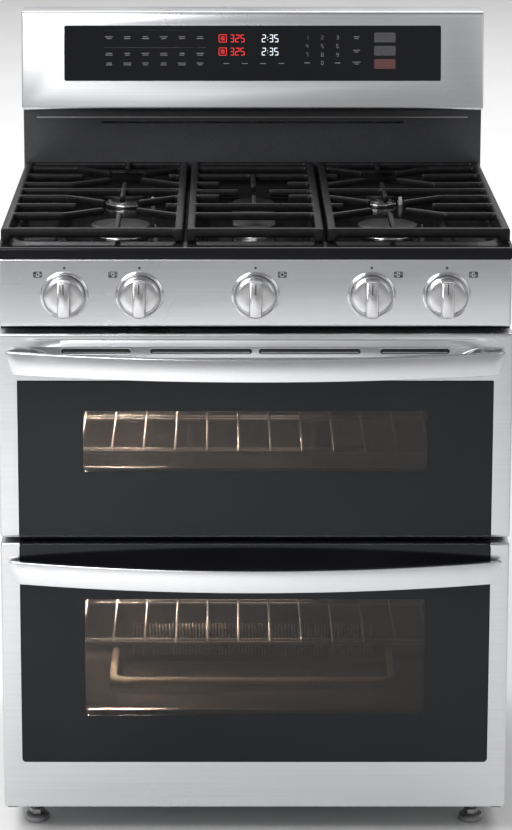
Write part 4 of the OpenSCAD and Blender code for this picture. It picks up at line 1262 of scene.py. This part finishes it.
def console_marks():
    """Generic key marks: dashes for words, a figure keypad and three pads."""
    white = bmesh.new()
    for i in range(6):
        u = -235 + 29.8 * i
        for j, v in enumerate((120.0, 93.0, 77.0)):
            dash(white, u, v, 13 - 2 * ((i + j) % 3))
            dash(white, u, v - 3.0, 8 + 2 * ((i + 2 * j) % 3))
    for v in (130.5, 102.2):
        dash(white, -159, v, 168, 0.4)
    for u in (-43, -13, 17, 47):
        dash(white, u, 76.3, 10)
    keys = [(u, v) for v in (118.8, 104.7, 90.5, 77.2) for u in (89.0, 114.0, 139.0)]
    for figure, (u, v) in zip("123456789-0-", keys):
        if figure == "-":
            dash(white, u, v, 9, 1.3)
        else:
            digit(white, figure, u - 1.8, v - 3.2, 3.6, 6.4, 0.04)
    for i, v in enumerate((120.0, 98.0, 78.5)):
        dash(white, 170, v, 10 + 2 * i)
        dash(white, 170, v - 3.0, 7)
    fixed("console_marks_white", white, MARK_WHITE)

    grey, red = bmesh.new(), bmesh.new()
    for v, target in ((118.8, grey), (97.1, grey), (75.5, red)):
        face_mark(target, 199, 234, v - 8, v + 8, 2, 0.03, 0.07, 4)
    fixed("console_pads_grey", grey, MARK_GREY)
    fixed("console_pad_red", red, MARK_RED)

    clock, heat = bmesh.new(), bmesh.new()
    for v in (111.0, 89.5):
        readout(clock, "2:35", 15, v)
        readout(heat, "325", -37, v)
        heat_icon(heat, -49, v + 6.3)
    fixed("console_clock_lit", clock, WHITE_LIGHT)
    fixed("console_heat_lit", heat, RED_LIGHT)


def riser():
    """Dark lower backguard with folded side returns, a vent slot and a bright trim strip."""
    y0 = lo("riser_panel").y + 2
    z0, z1 = PAN_TOP + 0.5, hi("riser_panel").z
    bm = bmesh.new()
    soft_block(bm, (-CONSOLE_HALF, y0, z0), (CONSOLE_HALF, y0 + 1.2, z1), 0.5)
    cutter = bmesh.new()
    prism(cutter, round_rect(-VENT_HALF, VENT_HALF, VENT_LOW, VENT_HIGH, 1.7), y0 - 2, y0 + 4)
    bm = carve(bm, cutter)
    inner = CONSOLE_HALF - 1
    for x0, x1 in ((-CONSOLE_HALF, -inner), (inner, CONSOLE_HALF)):
        soft_block(bm, (x0, y0 + 0.2, z0 - 16), (x1, CONSOLE_BACK, z1), 0.3)
    fixed("riser_sheet", bm, RISER, 30, ["riser_panel"])
    trim = bmesh.new()
    soft_block(trim, (-TRIM_HALF, y0 - 1.4, TRIM_LOW), (TRIM_HALF, y0 + 0.1, TRIM_LOW + 2), 0.6)
    fixed("riser_trim", trim, FOOT, 40)


# ---------- back and feet ----------

COVER_Y = REAR_Y - 3.2
CORD_HOLE = (-250, 120)
GAS_HOLE = (250, 190)
LOUVRES = [(60 * i, 703, 20) for i in range(-4, 5)] + [(80 * i, 1153, 25) for i in range(-3, 4)]
SCREWS = ([(367.5, z) for z in (100, 330, 560, 790)]
          + [(CONSOLE_HALF - 14, z) for z in (940, 1060, 1170)])


def louvre(bm, x, z, half):
    """Curved hood over a slot."""
    rings = []
    for s, c in quarter(6):
        y, top = COVER_Y - 4.5 * c - 0.1, z + 3.6 * s
        rings.append([Vector((x - half, y, top)), Vector((x + half, y, top)),
                      Vector((x + half, y - 0.5, top - 0.2)), Vector((x - half, y - 0.5, top - 0.2))])
    loft(bm, rings)


def back_covers():
    """Rear sheets with rolled louvres, pressed ribs and holes for the cord and the gas inlet."""
    bm = bmesh.new()
    for half, z0, z1 in ((HALF_W - 5, lo("rear_panels").z, PAN_TOP - 26),
                         (CONSOLE_HALF - 4, PAN_TOP - 24, CONSOLE_HIGH - 8)):
        soft_block(bm, (-half, COVER_Y - 1.2, z0), (half, COVER_Y, z1), 0.5)
    cutter = bmesh.new()
    for at, r in ((GAS_HOLE, 23.5), (CORD_HOLE, 11)):
        prism(cutter, circle(*at, r, 40), COVER_Y - 4, COVER_Y + 4)
    for x, z, half in LOUVRES:
        prism(cutter, round_rect(x - half, x + half, z - 3, z + 3, 2.8), COVER_Y - 4, COVER_Y + 4)
    bm = carve(bm, cutter)
    for at in LOUVRES:
        louvre(bm, *at)
    for x in (-300, -150, 0, 150, 300):
        for z0, z1 in ((330, 660), (740, 850)):
            outline = round_rect(x - 6, x + 6, z0, z1, 5.9)
            inner = round_rect(x - 3, x + 3, z0 + 3, z1 - 3, 2.9)
            loft(bm, [at_y(outline, COVER_Y - 0.05), at_y(inner, COVER_Y + 2.4)])
    fixed("rear_cover_sheets", bm, ZINC, 30, ["rear_panels"])


def cord_bush():
    """Rubber bush in the cord hole."""
    root, mouth = COVER_Y - 3.6, REAR_Y - 0.05
    outside = ((10.4, root), (10.4, REAR_Y - 0.6), (9.8, mouth))
    inside = ((7, mouth), (6.2, COVER_Y - 0.6), (6.2, root))
    bm = lofted([at_y(circle(*CORD_HOLE, r, 40), y) for r, y in outside + inside], cyclic=True)
    fixed("cord_bush", bm, FRAME_PAINT, 30)


def rear_screws():
    """Pan-head screws that hold the rear sheets."""
    bm = bmesh.new()
    profile = [(-6.0, 1.6), (0.0, 2.0), (0.02, 4.8), (0.3, 5.0), (0.6, 4.4), (0.75, 3.0)]
    for x, z in SCREWS:
        for side in (-1, 1):
            lathe(bm, Vector((side * x, COVER_Y, z)), ALONG_Y, profile, 24)
    fixed("rear_screws", bm, WIRE, 30, ["panel_screws"])


def fan_motor():
    """Motor can behind the oven wall, with a rolled rim."""
    bm = bmesh.new()
    profile = [(OVEN_BACK + 4 + y, r) for y, r in
               ((0, 5), (0, 38), (1.5, 40), (6, 40), (7, 38.5), (44, 38.5), (50, 36), (55.9, 20))]
    lathe(bm, Vector((0, 0, middle("convection_unit").z)), ALONG_Y, profile)
    fixed("fan_motor_can", bm, ZINC, 40, ["convection_unit"])


def feet():
    """Levelling feet: round pad, hexagon and a threaded rod."""
    thread = [(18, 4.2)]
    for k in range(48):
        thread += [(18.4 + k * 1.5, 4.9), (19.15 + k * 1.5, 4.2)]
    thread += [(91, 4.2), (92, 3.4)]
    for i in range(1, 5):
        name = f"foot_{i}"
        x, y, _ = middle(name)
        base = Vector((x, y, 0))
        bm = bmesh.new()
        lathe(bm, base, ALONG_Z, [(0, 17.5), (1.2, 19), (7, 19), (9.4, 17), (10, 14)], 40)
        loft(bm, [at_z(circle(x, y, r, 6), h) for h, r in ((9.9, 9.4), (10.6, 11), (17.4, 11), (18, 9.6))])
        lathe(bm, base, ALONG_Z, thread, 20)
        piece(f"{name}_leg", bm, name, FOOT, 35, [name])


# ---------- what stays hidden keeps its CAD shape and gets a finish ----------

def dress(node, material, bevel):
    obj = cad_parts[node]
    obj.data.materials.clear()
    obj.data.materials.append(material)
    for polygon in obj.data.polygons:
        polygon.material_index = 0
    edge = obj.modifiers.new("eased_edges", "BEVEL")
    edge.width = bevel * MM
    edge.segments = 2
    edge.limit_method = "ANGLE"
    edge.angle_limit = math.radians(40)


def hidden_nodes():
    for node, material, bevel in (("side_panels", SIDE_PAINT, 1.2), ("base_frame", ZINC, 0.5),
                                  ("front_frame", FRAME_PAINT, 0.5), ("oven_insulation", WOOL, 4.0),
                                  ("gas_manifold", BRASS, 1.2), ("display_board", BOARD, 0.3),
                                  ("hinge_arms", ZINC, 0.5), ("convection_fan", ALUMINIUM, 0.3)):
        dress(node, material, bevel)
    for door in ("upper_door", "lower_door"):
        dress(f"{door}_inner_glass", INNER_GLASS, 0.6)
        dress(f"{door}_hinges", ZINC, 0.5)
    for i in range(1, 6):
        dress(f"valve_stem_{i}", WIRE, 0.4)


# ---------- floor in millimetres, lights and camera in metres ----------

SKY = ((0.0, 0.34), (0.22, 0.53), (0.75, 0.26))
WHITE = (1, 1, 1)
WARM = (1.0, 0.91, 0.80)
FLOOR_HALF = 60000.0
LENS = 131.5
SHIFT = (0.034, -0.18)
CAMERA_AT = (-0.0407, -4.6467, 1.8088)
LOOK_DOWN = 11.861


def stage():
    """Pale floor, 1 mm under the feet."""
    edges = (-FLOOR_HALF, FLOOR_HALF)
    bm = lofted([[Vector((x, y, -1.0)) for x in edges] for y in edges], closed=False)
    to_metres(bm)
    floor = add_object("floor", mesh_of(bm, "floor"))
    f = Finish("studio_floor", (0.86, 0.86, 0.86), 0.7)
    f.colour(f.noise(2.0), (0.3, (0.84, 0.84, 0.84)), (0.8, (0.88, 0.88, 0.88)))
    f.rough(f.noise(8.0, 2.0), 0.6, 0.8)
    floor.data.materials.append(f.material)


def sky():
    """World whose grey follows the height above the horizon."""
    world = bpy.data.worlds.new("studio")
    world.use_nodes = True
    nodes, links = world.node_tree.nodes, world.node_tree.links
    place = nodes.new("ShaderNodeTexCoord")
    axes = nodes.new("ShaderNodeSeparateXYZ")
    links.new(place.outputs["Generated"], axes.inputs["Vector"])
    height = nodes.new("ShaderNodeValToRGB")
    height.color_ramp.elements.new(0.5)
    for element, (position, value) in zip(height.color_ramp.elements, SKY):
        element.position = position
        element.color = (value, value, value, 1)
    links.new(axes.outputs["Z"], height.inputs["Fac"])
    links.new(height.outputs["Color"], nodes["Background"].inputs["Color"])
    bpy.context.scene.world = world


def area_light(name, at, towards, size, power, colour=WHITE):
    light = bpy.data.lights.new(name, "AREA")
    light.shape = "RECTANGLE"
    light.size, light.size_y = size
    light.energy = power
    light.color = colour
    obj = add_object(name, light)
    obj.location = at
    obj.rotation_euler = (Vector(towards) - Vector(at)).to_track_quat("-Z", "Y").to_euler()
    obj.visible_camera = False
    return obj


def lights():
    area_light("key_left", (-2.2, -2.4, 3.4), (-0.6, -1.5, 0.2), (2.2, 2.2), 96)
    area_light("floor_pool", (-1.0, -2.3, 1.8), (-0.75, -2.2, 0), (0.7, 0.7), 34)
    area_light("fill_right", (2.8, -2.4, 1.9), (0, -0.3, 0.6), (1.2, 1.8), 6)
    area_light("backdrop", (0.0, 5.0, 5.5), (0, 5.0, 0), (7.0, 7.0), 420)
    for cavity in ("upper_cavity", "lower_cavity"):
        oven_lights(cavity)
    glow = area_light("tube_glow", (-0.25, 0.10, 0.235), (-0.229, 0.09, 0.14), (0.02, 0.06), 0.8, WARM)
    glow.visible_glossy = False


def oven_lights(cavity):
    """Warm lamp at the rear left, the glow it throws forwards and what the walls send back."""
    lamp = bpy.data.lights.new(f"{cavity}_lamp", "POINT")
    lamp.energy = 2.0
    lamp.shadow_soft_size = 0.012
    lamp.color = WARM
    at = Vector((LAMP_X, lo("oven_lamps").y - 12, hi(cavity).z - SHEET - LAMP_DROP)) * MM
    add_object(lamp.name, lamp).location = at
    mid = middle(cavity).z * MM
    roof = (hi(cavity).z - 12) * MM
    area_light(f"{cavity}_rear_glow", (-0.215, 0.20, at.z), (-0.19, -0.30, mid), (0.13, 0.03), 2.7, WARM)
    area_light(f"{cavity}_wall_glow", (-0.29, 0.05, mid), (0.2, 0.21, mid - 0.04), (0.1, 0.2), 0.9, WARM)
    area_light(f"{cavity}_roof_glow", (-0.10, -0.05, roof), (-0.14, -0.05, 0.0), (0.32, 0.35), 0.8, WARM)


def camera():
    data = bpy.data.cameras.new("camera")
    data.lens = LENS
    data.sensor_width = 36
    data.shift_x, data.shift_y = SHIFT
    obj = add_object("camera", data)
    obj.location = CAMERA_AT
    obj.rotation_euler = (math.radians(90 - LOOK_DOWN), 0, 0)
    bpy.context.scene.camera = obj


# ---------- build ----------

# each door with the low and high edges of its clear pane, then of the opening in its liner
DOORS = (("upper_door", (586.0, 678.5), (579.0, 686.0)), ("lower_door", (205.0, 388.0), (198.0, 395.0)))
UPPER_LEDGES = (60, 104, 148)
LOWER_LEDGES = (54, 116, 178, 240)

upper_door_skin()
upper_door_vents()
lower_door_skin()
door_edging("upper_door", lo("upper_door_skin").z, lo("upper_door_glass").z)
door_edging("lower_door", hi("lower_door_skin").z, hi("lower_door_glass").z)
for door, pane, opening in DOORS:
    door_glass(door, *pane)
    door_liner(door, *opening)
    window_trim(door, *opening)
    door_handle(door)
rounded_cavity("upper_oven", "upper_cavity", UPPER_LEDGES)
rounded_cavity("lower_oven", "lower_cavity", LOWER_LEDGES)
wire_rack("upper_rack")
wire_rack("lower_rack")
oven_lamp()
oven_burner_tubes()
convection_cover()
fan_motor()
gasket_ropes()
cooktop_pan()
burner_caps()
burner_bases()
oval_burner_ports()
igniters()
side_grate("grate_left", True)
side_grate("grate_right", False)
centre_grate()
control_panel()
panel_marks()
knob_bezels()
knobs()
console()
console_glass()
console_marks()
riser()
back_covers()
cord_bush()
rear_screws()
feet()
hidden_nodes()
stage()
sky()
lights()
camera()
bpy.context.scene.view_settings.view_transform = "Standard"
